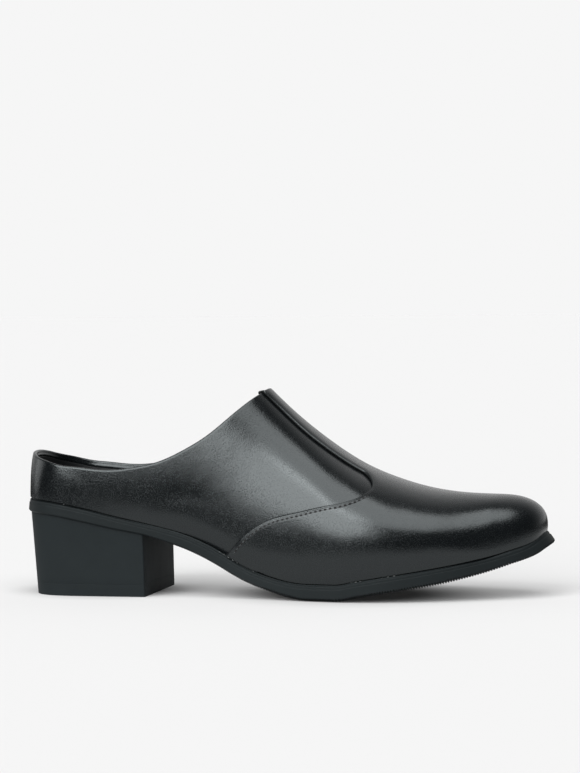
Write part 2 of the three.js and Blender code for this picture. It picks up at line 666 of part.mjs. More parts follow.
/** A slice of the heel between two heights: null for the upper one follows the outsole. */
function heelSlice(bottom, top) {
  const lines = heelPlaces().map((place) => {
    const under = HEEL_RINGS.map((share) => heelPoint(place, share, bottom));
    const over = HEEL_RINGS.map((share) => heelPoint(place, share, top)).reverse();
    return [...under, ...over];
  });
  return geometryFrom(solidFrom(skinLines(lines, false)));
}

// Materials, with the colours of black polished leather and black rubber

const LEATHER = new THREE.MeshStandardMaterial({ color: 0x1d2022, roughness: 0.38, metalness: 0 });
const QUARTER_LEATHER = new THREE.MeshStandardMaterial({ color: 0x1c1f21, roughness: 0.4, metalness: 0 });
const RUBBER = new THREE.MeshStandardMaterial({ color: 0x24282a, roughness: 0.55, metalness: 0 });
const HEEL_WRAP = new THREE.MeshStandardMaterial({ color: 0x25292b, roughness: 0.5, metalness: 0 });
const SOCK = new THREE.MeshStandardMaterial({ color: 0x17191a, roughness: 0.6, metalness: 0 });

/** One named piece of the shoe. */
function piece(name, geometry, material) {
  const mesh = new THREE.Mesh(geometry, material);
  mesh.name = name;
  return mesh;
}

const bottom = new THREE.Group();
bottom.add(piece("outsole", makeOutsole(), RUBBER));
bottom.add(piece("heel_block", heelSlice(TOP_LIFT + SEAT_GAP, null), HEEL_WRAP));
bottom.add(piece("top_lift", heelSlice(0, TOP_LIFT), RUBBER));

const top = new THREE.Group();
top.add(piece("upper", makeUpper(), QUARTER_LEATHER));
top.add(piece("vamp", makeVamp(), LEATHER));
top.add(piece("insole", makeInsole(), SOCK));

const shoe = new THREE.Group();
shoe.add(bottom, top);

// Centre the shoe over the origin, with the floor at z = 0.
const middle = new THREE.Box3().setFromObject(shoe).getCenter(new THREE.Vector3());
shoe.position.set(-middle.x, -middle.y, 0);

export default shoe;
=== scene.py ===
"""Dresses the solids of a black leather heeled slip-on: skin, rolled edges, stitches, ribs and light.

The shoe is a right one. In its own frame, in millimetres, x = 0 is the back of the outsole's upper edge,
y = 0 runs through the middle of the heel with the outer side at -y, and the floor is z = 0. Every mesh is
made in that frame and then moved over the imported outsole, in metres.
"""

import logging
import math
from collections.abc import Callable
from dataclasses import dataclass
from enum import Enum

import bpy
import numpy as np
from mathutils import Matrix, Vector
from mathutils.kdtree import KDTree


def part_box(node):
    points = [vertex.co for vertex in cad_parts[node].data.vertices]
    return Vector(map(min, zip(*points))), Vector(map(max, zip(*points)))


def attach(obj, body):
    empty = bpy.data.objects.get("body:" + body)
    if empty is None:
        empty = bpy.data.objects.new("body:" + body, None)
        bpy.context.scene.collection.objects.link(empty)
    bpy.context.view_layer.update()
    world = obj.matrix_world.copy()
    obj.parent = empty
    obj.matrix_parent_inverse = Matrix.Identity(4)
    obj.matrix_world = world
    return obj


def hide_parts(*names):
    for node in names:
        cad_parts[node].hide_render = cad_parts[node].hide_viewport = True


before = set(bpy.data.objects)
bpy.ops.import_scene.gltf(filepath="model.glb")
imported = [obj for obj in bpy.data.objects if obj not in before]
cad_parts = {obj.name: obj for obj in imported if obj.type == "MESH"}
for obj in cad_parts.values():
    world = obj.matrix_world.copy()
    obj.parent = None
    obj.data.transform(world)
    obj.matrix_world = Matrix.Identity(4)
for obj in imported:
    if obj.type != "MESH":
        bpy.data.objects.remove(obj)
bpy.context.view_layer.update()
MM = 0.001
QUARTER_TURN = math.pi / 2
# Points in one cell count as one: the cells in each millimetre, and a shift off the round numbers.
WELD_CELLS = 500
WELD_SHIFT = 0.271828
WHITE = (1.0, 1.0, 1.0, 1.0)
LOG = logging.getLogger("heeled_shoe")
Test = Callable[[np.ndarray], np.ndarray]


class Side(Enum):
    """The two sides of the shoe, by the sign of y."""

    OUTER = -1
    INNER = 1


# Height of the outsole's line in shares of the heel's rise and the toe's spring, and its thickness.
SOLE_COLUMNS = ("at", "rise", "spring", "thick")
SOLE_ROWS = (
    (0.0, 1.0, 0.0, 0.8),
    (0.06, 0.966, 0.0, 0.8),
    (0.127, 0.888, 0.0, 0.8),
    (0.193, 0.786, 0.0, 0.74),
    (0.254, 0.698, 0.0, 0.67),
    (0.324, 0.578, 0.0, 0.8),
    (0.37, 0.456, 0.0, 0.83),
    (0.405, 0.335, 0.0, 0.82),
    (0.43, 0.24, 0.0, 0.81),
    (0.46, 0.146, 0.0, 0.81),
    (0.5, 0.062, 0.0, 0.85),
    (0.535, 0.016, 0.0, 0.93),
    (0.565, 0.0, 0.0, 1.0),
    (0.62, 0.0, 0.0, 1.0),
    (0.66, 0.0, 0.072, 1.0),
    (0.7, 0.0, 0.145, 1.0),
    (0.75, 0.0, 0.229, 1.0),
    (0.8, 0.0, 0.3185, 0.99),
    (0.85, 0.0, 0.4145, 0.92),
    (0.9, 0.0, 0.5305, 0.83),
    (0.94, 0.0, 0.651, 0.77),
    (0.97, 0.0, 0.768, 0.77),
    (1.0, 0.0, 1.0, 0.77),
)
# Sections of the last, in shares of the ball's width and the instep's rise.
LAST_COLUMNS = ("at", "outer", "inner", "spine", "ridge", "outer_full", "inner_full", "inset", "swell")
LAST_ROWS = (
    (0.105, 0.372, 0.366, 0.0, 0.959, 2.2, 2.2, 0.004, 0.05),
    (0.18, 0.374, 0.382, 0.0, 1.111, 2.2, 2.2, 0.01, 0.3),
    (0.28, 0.37, 0.412, 0.004, 1.214, 2.15, 2.2, 0.02, 0.65),
    (0.385, 0.37, 0.335, 0.015, 1.197, 2.1, 2.15, 0.036, 0.95),
    (0.43, 0.38, 0.3, 0.022, 1.102, 2.1, 2.15, 0.038, 1.0),
    (0.475, 0.402, 0.312, 0.028, 0.977, 2.1, 2.15, 0.04, 1.0),
    (0.52, 0.43, 0.345, 0.035, 0.8565, 2.14, 2.2, 0.04, 1.0),
    (0.57, 0.463, 0.402, 0.04, 0.7413, 2.22, 2.2, 0.04, 1.0),
    (0.61, 0.485, 0.445, 0.043, 0.66, 2.28, 2.25, 0.04, 1.0),
    (0.65, 0.497, 0.477, 0.046, 0.592, 2.3, 2.3, 0.04, 1.0),
    (0.71, 0.49, 0.503, 0.05, 0.5195, 2.27, 2.35, 0.04, 0.95),
    (0.78, 0.445, 0.497, 0.052, 0.464, 2.2, 2.35, 0.038, 0.85),
    (0.85, 0.37, 0.45, 0.052, 0.439, 2.15, 2.3, 0.035, 0.6),
    (0.905, 0.292, 0.385, 0.05, 0.433, 2.46, 2.5, 0.028, 0.2),
)
# Topline of the collar, over the outsole under the ball, in shares of the instep's rise.
TOPLINE_ROWS = (
    (0.0, 0.69),
    (0.02, 0.662),
    (0.045, 0.641),
    (0.07, 0.6225),
    (0.09, 0.6115),
    (0.115, 0.605),
    (0.15, 0.5945),
    (0.19, 0.5915),
    (0.232, 0.606),
    (0.28, 0.638),
    (0.328, 0.7015),
    (0.376, 0.788),
    (0.415, 0.884),
    (0.455, 0.984),
    (0.5, 1.09),
)
# Edge of the vamp over the quarter, above the outsole there, in shares of the instep's rise.
SEAM_ROWS = (
    (0.408, 0.0),
    (0.414, 0.028),
    (0.421, 0.064),
    (0.4365, 0.136),
    (0.4625, 0.23),
    (0.4885, 0.2955),
    (0.5145, 0.338),
    (0.5405, 0.366),
    (0.566, 0.3865),
    (0.591, 0.402),
    (0.615, 0.414),
    (0.64, 0.4205),
    (0.663, 0.4245),
    (0.69, 0.428),
)
# Half the strap's width in shares of its full width where it opens into the vamp.
STRAP_ROWS = ((0.44, 0.293), (0.49, 0.3), (0.55, 0.389), (0.61, 0.439), (0.69, 0.5))


class TableCurve:
    """A curve through one column of a table."""

    def __init__(self, at: np.ndarray, value: np.ndarray) -> None:
        """Keeps the column and works out what each row needs.

        Args:
            at: The rows' places, rising.
            value: The column's values.
        """
        self.at = at
        self.value = value
        self.bend = self.bends()

    def bends(self) -> np.ndarray:
        """One number for each row that shapes the curve there."""
        raise NotImplementedError

    def cell(self, at: np.ndarray) -> tuple[np.ndarray, np.ndarray, np.ndarray]:
        """The row before each place, the step to the next one, and the share of the way to it.

        Args:
            at: Places along the table.

        Returns:
            The rows' numbers, the steps and the shares.
        """
        at = np.asarray(at, float)
        i = np.clip(np.searchsorted(self.at, at) - 1, 0, len(self.at) - 2)
        step = self.at[i + 1] - self.at[i]
        return i, step, (at - self.at[i]) / step


class SmoothCurve(TableCurve):
    """A natural cubic spline."""

    def bends(self) -> np.ndarray:
        """The spline's second slopes.

        Returns:
            One second slope for each row.
        """
        at, value = self.at, self.value
        count = len(at)
        bend = np.zeros(count)
        pivot = np.zeros(count)
        for i in range(1, count - 1):
            share = (at[i] - at[i - 1]) / (at[i + 1] - at[i - 1])
            p = share * bend[i - 1] + 2
            jump = (value[i + 1] - value[i]) / (at[i + 1] - at[i])
            jump -= (value[i] - value[i - 1]) / (at[i] - at[i - 1])
            bend[i] = (share - 1) / p
            pivot[i] = (6 * jump / (at[i + 1] - at[i - 1]) - share * pivot[i - 1]) / p
        for i in range(count - 2, -1, -1):
            bend[i] = bend[i] * bend[i + 1] + pivot[i]
        return bend

    def __call__(self, at: np.ndarray) -> np.ndarray:
        """The column's value at any place.

        Args:
            at: Places along the table.

        Returns:
            The values there.
        """
        i, step, b = self.cell(at)
        a = 1 - b
        sway = ((a**3 - a) * self.bend[i] + (b**3 - b) * self.bend[i + 1]) * step * step / 6
        return a * self.value[i] + b * self.value[i + 1] + sway


class SteadyCurve(TableCurve):
    """A curve that never swings past its rows, so level rows stay level."""

    def bends(self) -> np.ndarray:
        """The curve's slopes.

        Returns:
            One slope for each row.
        """
        slope = np.diff(self.value) / np.diff(self.at)
        before, after = slope[:-1], slope[1:]
        level = before * after <= 0
        middle = np.where(level, 0, 2 * before * after / np.where(level, 1, before + after))
        return np.concatenate(([slope[0]], middle, [slope[-1]]))

    def __call__(self, at: np.ndarray) -> np.ndarray:
        """The column's value at any place.

        Args:
            at: Places along the table.

        Returns:
            The values there.
        """
        i, step, t = self.cell(at)
        rise = t * t * (3 - 2 * t)
        lead = t * (1 - t) * (1 - t) * self.bend[i] * step
        tail = t * t * (t - 1) * self.bend[i + 1] * step
        return blend(self.value[i], self.value[i + 1], rise) + lead + tail


def column(
    rows: tuple[tuple[float, ...], ...],
    names: tuple[str, ...],
    name: str,
    kind: type[TableCurve] = SmoothCurve,
) -> TableCurve:
    """One named column of a table, as a curve.

    Args:
        rows: The table's rows, the first value of each being its place.
        names: The table's column names.
        name: The column wanted.
        kind: SmoothCurve or SteadyCurve.

    Returns:
        The curve.
    """
    data = np.array(rows, float)
    return kind(data[:, 0], data[:, names.index(name)])


def blend(a: np.ndarray, b: np.ndarray, share: np.ndarray) -> np.ndarray:
    """The value a share of the way from a to b."""
    return a + (b - a) * share


def ramp(value: np.ndarray, low: float, high: float) -> np.ndarray:
    """A soft step from 0 at low to 1 at high."""
    t = np.clip((np.asarray(value, float) - low) / (high - low), 0, 1)
    return t * t * (3 - 2 * t)


@dataclass
class Crease:
    """A soft trough or ridge in the leather, along a short line on one side of the shoe."""

    side: Side
    points: tuple[tuple[float, float], ...]  # share of the length, share of the section's rows
    depth: float  # mm, negative for a ridge
    width: float  # mm, half width of the trough


# The few soft folds that the leather shows, the same on both sides.
CREASES = tuple(
    Crease(side, points, depth, width)
    for side in Side
    for points, depth, width in (
        (((0.6, 0.62), (0.64, 0.5), (0.665, 0.36)), 0.22, 5.0),
        (((0.7, 0.72), (0.735, 0.55), (0.75, 0.38)), 0.18, 5.5),
        (((0.25, 0.12), (0.31, 0.2), (0.38, 0.22)), 0.2, 4.0),
        (((0.06, 0.3), (0.1, 0.24), (0.15, 0.16)), 0.16, 4.0),
    )
)


@dataclass
class Last:
    """The form the shoe is made on: a place runs round it from 0 to 4, and a row up it from 0 to 1."""

    sole_length: float = 256.8
    ball_width: float = 80.0
    heel_rise: float = 39.5
    toe_spring: float = 24.2
    instep_rise: float = 91.0
    sole_thickness: float = 8.1
    seat_gap: float = 0.35
    swell: float = 2.2
    swell_height: float = 13.0
    swell_ease: float = 14.0
    swell_share: float = 0.16
    strap_width: float = 28.0
    strap_overhang: float = 2.5
    tip_round: float = 8.0
    quarter_tip: float = 0.685
    tip_bias: float = 0.35
    collar_tilt: float = 0.01
    toe_fullness: tuple[float, float] = (0.62, 0.6)
    heel_fullness: tuple[float, float] = (0.68, 0.76)
    toe_drift: float = 0.01
    heel_tuck: float = 0.065
    tuck_height: float = 24.0
    ball_climb: float = 7.0  # how much higher the wall is fullest beside the ball
    ball_at: float = 0.62
    ball_span: float = 0.13
    toe_lean: float = 6.5  # how much lower it is fullest at the toe
    lean_from: float = 0.8
    creases: tuple[Crease, ...] = CREASES

    def __post_init__(self) -> None:
        """Reads the tables."""
        self.rise = column(SOLE_ROWS, SOLE_COLUMNS, "rise", SteadyCurve)
        self.spring = column(SOLE_ROWS, SOLE_COLUMNS, "spring", SteadyCurve)
        self.thick = column(SOLE_ROWS, SOLE_COLUMNS, "thick", SteadyCurve)
        self.curve = {name: column(LAST_ROWS, LAST_COLUMNS, name) for name in LAST_COLUMNS[1:]}
        self.topline = column(TOPLINE_ROWS, ("at", "over"), "over")
        self.seam = column(SEAM_ROWS, ("at", "over"), "over")
        self.strap = column(STRAP_ROWS, ("at", "half"), "half")
        self.heel_pole = LAST_ROWS[0][0]
        self.toe_pole = LAST_ROWS[-1][0]
        self.seam_start = SEAM_ROWS[0][0]

    def sole_top(self, x: np.ndarray) -> np.ndarray:
        """Height of the outsole's upper face at x."""
        at = np.asarray(x, float) / self.sole_length
        return self.sole_thickness + self.rise(at) * self.heel_rise + self.spring(at) * self.toe_spring

    def sole_depth(self, x: np.ndarray) -> np.ndarray:
        """Thickness of the outsole at x, square to its upper face."""
        return self.sole_thickness * self.thick(np.asarray(x, float) / self.sole_length)

    def under_sole(
        self, x: np.ndarray, y: np.ndarray, depth: np.ndarray, steepest: float = math.inf
    ) -> np.ndarray:
        """Points below the outsole's upper face, square to it.

        Args:
            x: Places along the upper face.
            y: Places across it.
            depth: How far below it, in mm.
            steepest: The slope past which the way down turns no further.

        Returns:
            The points, one row each.
        """
        reach = self.sole_length / 1000
        slope = (self.sole_top(x + reach) - self.sole_top(x - reach)) / (2 * reach)
        slope = np.minimum(slope, steepest)
        length = np.hypot(slope, 1)
        z = self.sole_top(x) - depth / length
        return np.stack(np.broadcast_arrays(x + slope * depth / length, y, z), axis=-1)

    def station(self, place: np.ndarray) -> tuple[np.ndarray, np.ndarray]:
        """Share of the length and compass turn of a place round the last.

        Args:
            place: Places round the last.

        Returns:
            The shares, and the turns in radians, which rise from the outer side over the toe.
        """
        q = np.mod(place, 4.0)
        q = np.where(q >= 4, 0.0, q)
        side = np.floor(q)
        part = q - side
        ahead = blend(self.heel_pole, self.toe_pole, part)
        back = blend(self.toe_pole, self.heel_pole, part)
        at = np.select([side == 0, side == 1, side == 2], [ahead, self.toe_pole, back], self.heel_pole)
        turns = [-QUARTER_TURN + 0 * part, -QUARTER_TURN + math.pi * part, QUARTER_TURN + 0 * part]
        turn = np.select([side == 0, side == 1, side == 2], turns, QUARTER_TURN + math.pi * part)
        return at, turn

    def place_at(self, at: np.ndarray, side: Side) -> np.ndarray:
        """The place on one side of the last at a share of the length."""
        part = (np.asarray(at, float) - self.heel_pole) / (self.toe_pole - self.heel_pole)
        return part if side is Side.OUTER else 3 - part

    def plan(self, place: np.ndarray, inset: np.ndarray) -> tuple[np.ndarray, ...]:
        """The plan outline.

        Args:
            place: Places round the last.
            inset: How far inside the outsole's upper edge, in mm.

        Returns:
            x, y, and the x and y of the spine that the section turns on.
        """
        at, turn = self.station(place)
        outer = np.sin(turn) < 0
        hand = np.where(outer, -1.0, 1.0)
        spine_x = at * self.sole_length
        spine_y = self.curve["spine"](at) * self.ball_width

        def width(share: np.ndarray) -> np.ndarray:
            """Half width on the place's own side, as a share of the ball's width."""
            return np.where(outer, self.curve["outer"](share), self.curve["inner"](share))

        half = width(at) * self.ball_width - hand * spine_y
        step = 0.002
        flare = (width(at + step) - width(at - step)) / (2 * step)
        drift = (self.curve["spine"](at + step) - self.curve["spine"](at - step)) / (2 * step)
        slope = (flare - hand * drift) * self.ball_width / self.sole_length
        shrink = inset / np.hypot(1, slope)
        side_x = spine_x + shrink * slope
        side_y = spine_y + hand * (half - shrink)

        toe = at > 0.5
        ahead = np.where(toe, 1.0, -1.0)
        part = 1 - np.arcsin(np.clip(np.abs(np.sin(turn)), 0, 1)) / QUARTER_TURN
        reach = np.where(toe, self.sole_length - spine_x, spine_x)
        tip = np.where(toe, hand * self.toe_drift * self.ball_width, 0.0)
        full_side = np.where(toe, self.toe_fullness[0], self.heel_fullness[0])
        full_tip = np.where(toe, self.toe_fullness[1], self.heel_fullness[1])
        end_slope = ahead * slope
        run = full_side * reach / np.hypot(1, end_slope)
        px = np.stack([0 * half, run, reach, reach])
        py = np.stack([half, half + run * end_slope, tip + full_tip * (half - tip), tip])
        u = 1 - part
        weight = np.stack([u**3, 3 * u * u * part, 3 * u * part * part, part**3])
        slant = np.stack([3 * u * u, 6 * u * part, 3 * part * part])
        x, y = (px * weight).sum(0), (py * weight).sum(0)
        dx, dy = (np.diff(px, axis=0) * slant).sum(0), (np.diff(py, axis=0) * slant).sum(0)
        length = np.hypot(dx, dy)
        end_x = spine_x + ahead * (x + inset * dy / length)
        end_y = spine_y + hand * (y - inset * dx / length)
        on_side = np.abs(np.cos(turn)) < 1e-9
        return np.where(on_side, side_x, end_x), np.where(on_side, side_y, end_y), spine_x, spine_y

    def ridge(self, at: np.ndarray) -> np.ndarray:
        """Height of the last's ridge."""
        return self.sole_thickness + self.curve["ridge"](at) * self.instep_rise

    def fullest_height(self, at: np.ndarray) -> np.ndarray:
        """How high the wall is fullest: high beside the ball, and low at the toe."""
        climb = self.ball_climb * np.exp(-(((at - self.ball_at) / self.ball_span) ** 2))
        return self.swell_height + climb - self.toe_lean * ramp(at, self.lean_from, self.toe_pole)

    def section(self, place: np.ndarray) -> dict[str, np.ndarray]:
        """Everything that shapes the sections of the upper at some places.

        Args:
            place: Places round the last.

        Returns:
            Arrays by name, one value for each place.
        """
        at, turn = self.station(place)
        x, y, spine_x, spine_y = self.plan(place, self.curve["inset"](at) * self.ball_width)
        reach = np.hypot(x - spine_x, y - spine_y)
        foot = self.sole_top(x) + self.seat_gap
        height = self.ridge(at) - foot
        inner = (1 + np.sin(turn)) / 2
        tuck = self.heel_tuck * np.sin(2 * turn) ** 2
        return {
            "reach": reach,
            "foot": foot,
            "height": height,
            "spine_x": spine_x,
            "spine_y": spine_y,
            "dir_x": (x - spine_x) / reach,
            "dir_y": (y - spine_y) / reach,
            "swell": self.swell * self.curve["swell"](at),
            "full": blend(self.curve["outer_full"](at), self.curve["inner_full"](at), inner),
            "fullest": self.fullest_height(at) * height / (height + self.swell_ease),
            "tuck": np.where(at < 0.5, tuck, 0.0),
        }

    def point(self, place: np.ndarray, row: np.ndarray) -> np.ndarray:
        """Points of the quarters' outer face, one row each.

        Args:
            place: Places round the last.
            row: Rows up the section, from 0 at its lower edge to 1 on the ridge.

        Returns:
            The points, in mm.
        """
        s = self.section(place)
        low = np.clip(row / self.swell_share, 0, 1)
        angle = np.clip((row - self.swell_share) / (1 - self.swell_share), 0, 1) * QUARTER_TURN
        below = row <= self.swell_share
        power = 2 / s["full"]
        crown = (s["reach"] + s["swell"]) * np.clip(np.cos(angle), 0, 1) ** power
        out = np.where(below, s["reach"] + s["swell"] * np.sin(low * QUARTER_TURN), crown)
        out = np.where(row >= 1, 0.0, out)
        over = s["fullest"] + (s["height"] - s["fullest"]) * np.sin(angle) ** power
        up = np.where(below, s["fullest"] * low, over)
        out = out * (1 - s["tuck"] * ramp(up, 0, self.tuck_height))
        x = s["spine_x"] + s["dir_x"] * out
        y = s["spine_y"] + s["dir_y"] * out
        return np.stack([x, y, s["foot"] + up], axis=-1)

    def normal(self, place: np.ndarray, row: np.ndarray) -> np.ndarray:
        """Outward normals of the quarters' outer face.

        Args:
            place: Places round the last.
            row: Rows up the section, from 0 at its lower edge to 1 on the ridge.

        Returns:
            The normals, each of length 1.
        """
        e = 1e-3
        across = self.point(place + e, row) - self.point(place - e, row)
        upper = np.minimum(1, row + e)
        lower = np.maximum(0, row - e)
        along = self.point(place, upper) - self.point(place, lower)
        n = np.cross(across, along)
        at, _ = self.station(place)
        slope = (self.ridge(at + e) - self.ridge(at - e)) / (2 * e * self.sole_length)
        crest = np.stack([-slope, 0 * slope, 1 + 0 * slope], axis=-1)
        foot = np.stack([across[..., 1], -across[..., 0], 0 * across[..., 0]], axis=-1)
        n = np.where((row >= 1 - 1e-6)[..., None], crest, n)
        n = np.where((row <= 0)[..., None], foot, n)
        return n / np.linalg.norm(n, axis=-1, keepdims=True)

    def row_at_height(self, place: np.ndarray, over: np.ndarray) -> np.ndarray:
        """The row of a section that lies so far above its lower edge.

        Args:
            place: Places round the last.
            over: Heights over the lower edge, in mm.

        Returns:
            The rows.
        """
        s = self.section(place)
        low = self.swell_share * np.maximum(0, over) / s["fullest"]
        share = np.clip((over - s["fullest"]) / (s["height"] - s["fullest"]), 0, 1)
        high = np.arcsin(share ** (s["full"] / 2)) / QUARTER_TURN
        return np.where(over <= s["fullest"], low, self.swell_share + (1 - self.swell_share) * high)

    def row_at_reach(self, place: np.ndarray, out: np.ndarray) -> np.ndarray:
        """The row of a section that lies so far from the ridge, seen from above.

        Args:
            place: Places round the last.
            out: Distances from the ridge, in mm.

        Returns:
            The rows.
        """
        s = self.section(place)
        share = np.clip(out / (s["reach"] + s["swell"]), 0, 1)
        high = np.arccos(share ** (s["full"] / 2)) / QUARTER_TURN
        return self.swell_share + (1 - self.swell_share) * high

    def collar_height(self, point: np.ndarray, back: float = 0.0) -> np.ndarray:
        """Height of the topline over a point, with the topline moved so far to the rear."""
        at = (point[..., 0] + back) / self.sole_length
        return self.sole_thickness + self.topline(at) * self.instep_rise - self.collar_tilt * point[..., 1]

    def solve(self, low: np.ndarray, high: np.ndarray, test: Test) -> np.ndarray:
        """The place between low and high where a test turns from False to True, by halving.

        Args:
            low: Where the test is False.
            high: Where it is True.
            test: A function of an array that gives an array of booleans.

        Returns:
            The turning places.
        """
        low = np.array(low, float)
        high = np.array(high, float)
        for _ in range(40):
            middle = (low + high) / 2
            past = test(middle)
            high = np.where(past, middle, high)
            low = np.where(past, low, middle)
        return (low + high) / 2

    def relief(self, point: np.ndarray) -> np.ndarray:
        """How far the creases move the skin out at each point, in mm.

        Args:
            point: Points of the quarters' outer face.

        Returns:
            The moves, negative in a trough.
        """
        total = np.zeros(len(point))
        for crease in self.creases:
            at = np.array([p[0] for p in crease.points])
            row = np.array([p[1] for p in crease.points])
            steps = np.linspace(0, len(at) - 1, 24)
            at = np.interp(steps, np.arange(len(at)), at)
            row = np.interp(steps, np.arange(len(row)), row)
            line = self.point(self.place_at(at, crease.side), row)
            gap = np.linalg.norm(point[:, None, :] - line[None, :, :], axis=2)
            nearest = gap.argmin(axis=1)
            fade = np.sin(np.pi * (nearest + 0.5) / len(line)) ** 0.7
            total -= crease.depth * fade * np.exp(-((gap.min(axis=1) / crease.width) ** 2))
        return total


def weld(points: np.ndarray, faces: list) -> tuple[np.ndarray, list[list[int]]]:
    """Joins points that coincide, such as those at a pole.

    Args:
        points: Points in mm.
        faces: Faces, as their corners' numbers.

    Returns:
        The numbers of the points that are kept, and the faces with repeated corners dropped.
    """
    key = np.floor(points * WELD_CELLS + WELD_SHIFT).astype(np.int64)
    _, first, inverse = np.unique(key, axis=0, return_index=True, return_inverse=True)
    inverse = inverse.ravel().tolist()
    kept = []
    for face in faces:
        loop = [inverse[v] for v in face]
        loop = [v for k, v in enumerate(loop) if v != loop[k - 1]]
        if len(loop) >= 3 and len(set(loop)) == len(loop):
            kept.append(loop)
    return first, kept


def skin_rings(rings: list[np.ndarray], closed: bool = False) -> tuple[np.ndarray, list[list[int]]]:
    """Joins rings of as many points each into one skin.

    Args:
        rings: The rings, in order.
        closed: Whether the first and the last ring are filled.

    Returns:
        Points and faces.
    """
    count = len(rings[0])
    faces = []
    for here in range(0, (len(rings) - 1) * count, count):
        for j in range(count):
            k = (j + 1) % count
            faces.append([here + j, here + k, here + count + k, here + count + j])
    if closed:
        end = (len(rings) - 1) * count
        faces += [list(range(count))[::-1], list(range(end, end + count))]
    return np.concatenate(rings), faces


class Sheet:
    """A piece of leather on the last, as places and rows in quads, before it gets its thickness."""

    def __init__(self, last: Last) -> None:
        """Starts an empty sheet on a last.

        Args:
            last: The form it lies on.
        """
        self.last = last
        self.place: list[np.ndarray] = []
        self.row: list[np.ndarray] = []
        self.quads: list[np.ndarray] = []
        self.count = 0

    def patch(self, place: np.ndarray, row: np.ndarray) -> None:
        """Adds a grid of stations by rows, in the order of rising places.

        Args:
            place: Places, shaped stations by rows.
            row: Rows, shaped alike.
        """
        stations, rows = place.shape
        index = self.count + np.arange(stations * rows).reshape(stations, rows)
        quads = np.stack([index[:-1, :-1], index[1:, :-1], index[1:, 1:], index[:-1, 1:]], axis=-1)
        self.place.append(place.ravel())
        self.row.append(row.ravel())
        self.quads.append(quads.reshape(-1, 4))
        self.count += stations * rows

    def welded(self) -> tuple[np.ndarray, np.ndarray, list[list[int]]]:
        """The places, the rows and the faces of the sheet with its patches joined.

        Returns:
            Places, rows and faces.
        """
        place = np.concatenate(self.place)
        row = np.concatenate(self.row)
        quads = np.concatenate(self.quads).tolist()
        first, faces = weld(self.last.point(place, row), quads)
        return place[first], row[first], faces


@dataclass
class Thick:
    """A leather sheet with its two faces and its rolled edges, as points and faces."""

    points: np.ndarray
    faces: list[list[int]]
    edge: np.ndarray  # distance of each point from the nearest rolled edge, in mm
    cut: np.ndarray  # 0 on the outer face, rising round the edge to 1 on the inner face


class Skin:
    """A welded sheet: its points on the last, their normals, and how far each lies from an edge."""

    def __init__(self, sheet: Sheet) -> None:
        """Welds a sheet and finds its edges.

        Args:
            sheet: The sheet.
        """
        self.last = sheet.last
        self.place, self.row, self.faces = sheet.welded()
        self.base = self.last.point(self.place, self.row)
        self.normal = self.last.normal(self.place, self.row)
        self.on_sole = self.row <= 1e-9
        used = {(face[k - 1], b) for face in self.faces for k, b in enumerate(face)}
        border = [e for e in used if (e[1], e[0]) not in used]
        self.flat = [e for e in border if self.on_sole[e[0]] and self.on_sole[e[1]]]
        self.rolled = sorted(set(border) - set(self.flat))
        tree = KDTree(4 * len(self.rolled))
        for i, (a, b) in enumerate(self.rolled):
            for k in range(4):
                tree.insert(Vector(blend(self.base[a], self.base[b], k / 4)), 4 * i + k)
        tree.balance()
        self.edge = np.array([tree.find(Vector(p))[2] for p in self.base])

    def outward(self) -> np.ndarray:
        """For each point on a rolled edge, the way out of the sheet along the last.

        Returns:
            Arrows of length 1, and zeros off the edge.
        """
        out = np.zeros_like(self.base)
        for a, b in self.rolled:
            tangent = self.base[b] - self.base[a]
            tangent /= max(np.linalg.norm(tangent), 1e-9)
            for v in (a, b):
                out[v] += np.cross(tangent, self.normal[v])
        return out / np.maximum(np.linalg.norm(out, axis=1, keepdims=True), 1e-9)

    def thicken(self, outer: np.ndarray, inner: np.ndarray, roll_steps: int = 8) -> Thick:
        """Gives the sheet two faces, with a half round along every edge off the outsole.

        Args:
            outer: Offset of each point of its outer face from the quarters' face, in mm.
            inner: Offset of each point of its inner face.
            roll_steps: Steps round the half round.

        Returns:
            The closed piece.
        """
        count = len(self.base)
        top = self.base + self.normal * (outer + 0 * self.edge)[:, None]
        under = self.base + self.normal * (inner + 0 * self.edge)[:, None]
        for face_points in (top, under):
            x = face_points[self.on_sole, 0]
            face_points[self.on_sole, 2] = self.last.sole_top(x) + self.last.seat_gap
        outward = self.outward()
        faces = [list(f) for f in self.faces] + [[v + count for v in reversed(f)] for f in self.faces]
        ring_of: dict[int, list[int]] = {}
        ring_points = []
        total = 2 * count
        for v in sorted({v for e in self.rolled for v in e}):
            middle = (top[v] + under[v]) / 2
            radius = np.linalg.norm(top[v] - under[v]) / 2
            angles = math.pi * np.arange(1, roll_steps) / roll_steps
            arc = np.cos(angles)[:, None] * self.normal[v] + np.sin(angles)[:, None] * outward[v]
            ring_points.append(middle + radius * arc)
            ring_of[v] = [v, *range(total, total + roll_steps - 1), v + count]
            total += roll_steps - 1
        for a, b in self.rolled:
            for k in range(roll_steps):
                faces.append([ring_of[b][k], ring_of[a][k], ring_of[a][k + 1], ring_of[b][k + 1]])
        for a, b in self.flat:
            faces.append([b, a, a + count, b + count])
            if a in ring_of:
                faces.append(list(reversed(ring_of[a])))
            if b in ring_of:
                faces.append(list(ring_of[b]))
        points = np.concatenate([top, under, *ring_points])
        edges = np.concatenate([self.edge, self.edge, np.zeros(len(points) - 2 * count)])
        turns = np.tile(np.arange(1, roll_steps) / roll_steps, len(ring_points))
        cut = np.concatenate([np.zeros(count), np.ones(count), turns])
        return Thick(points, faces, edges, cut)


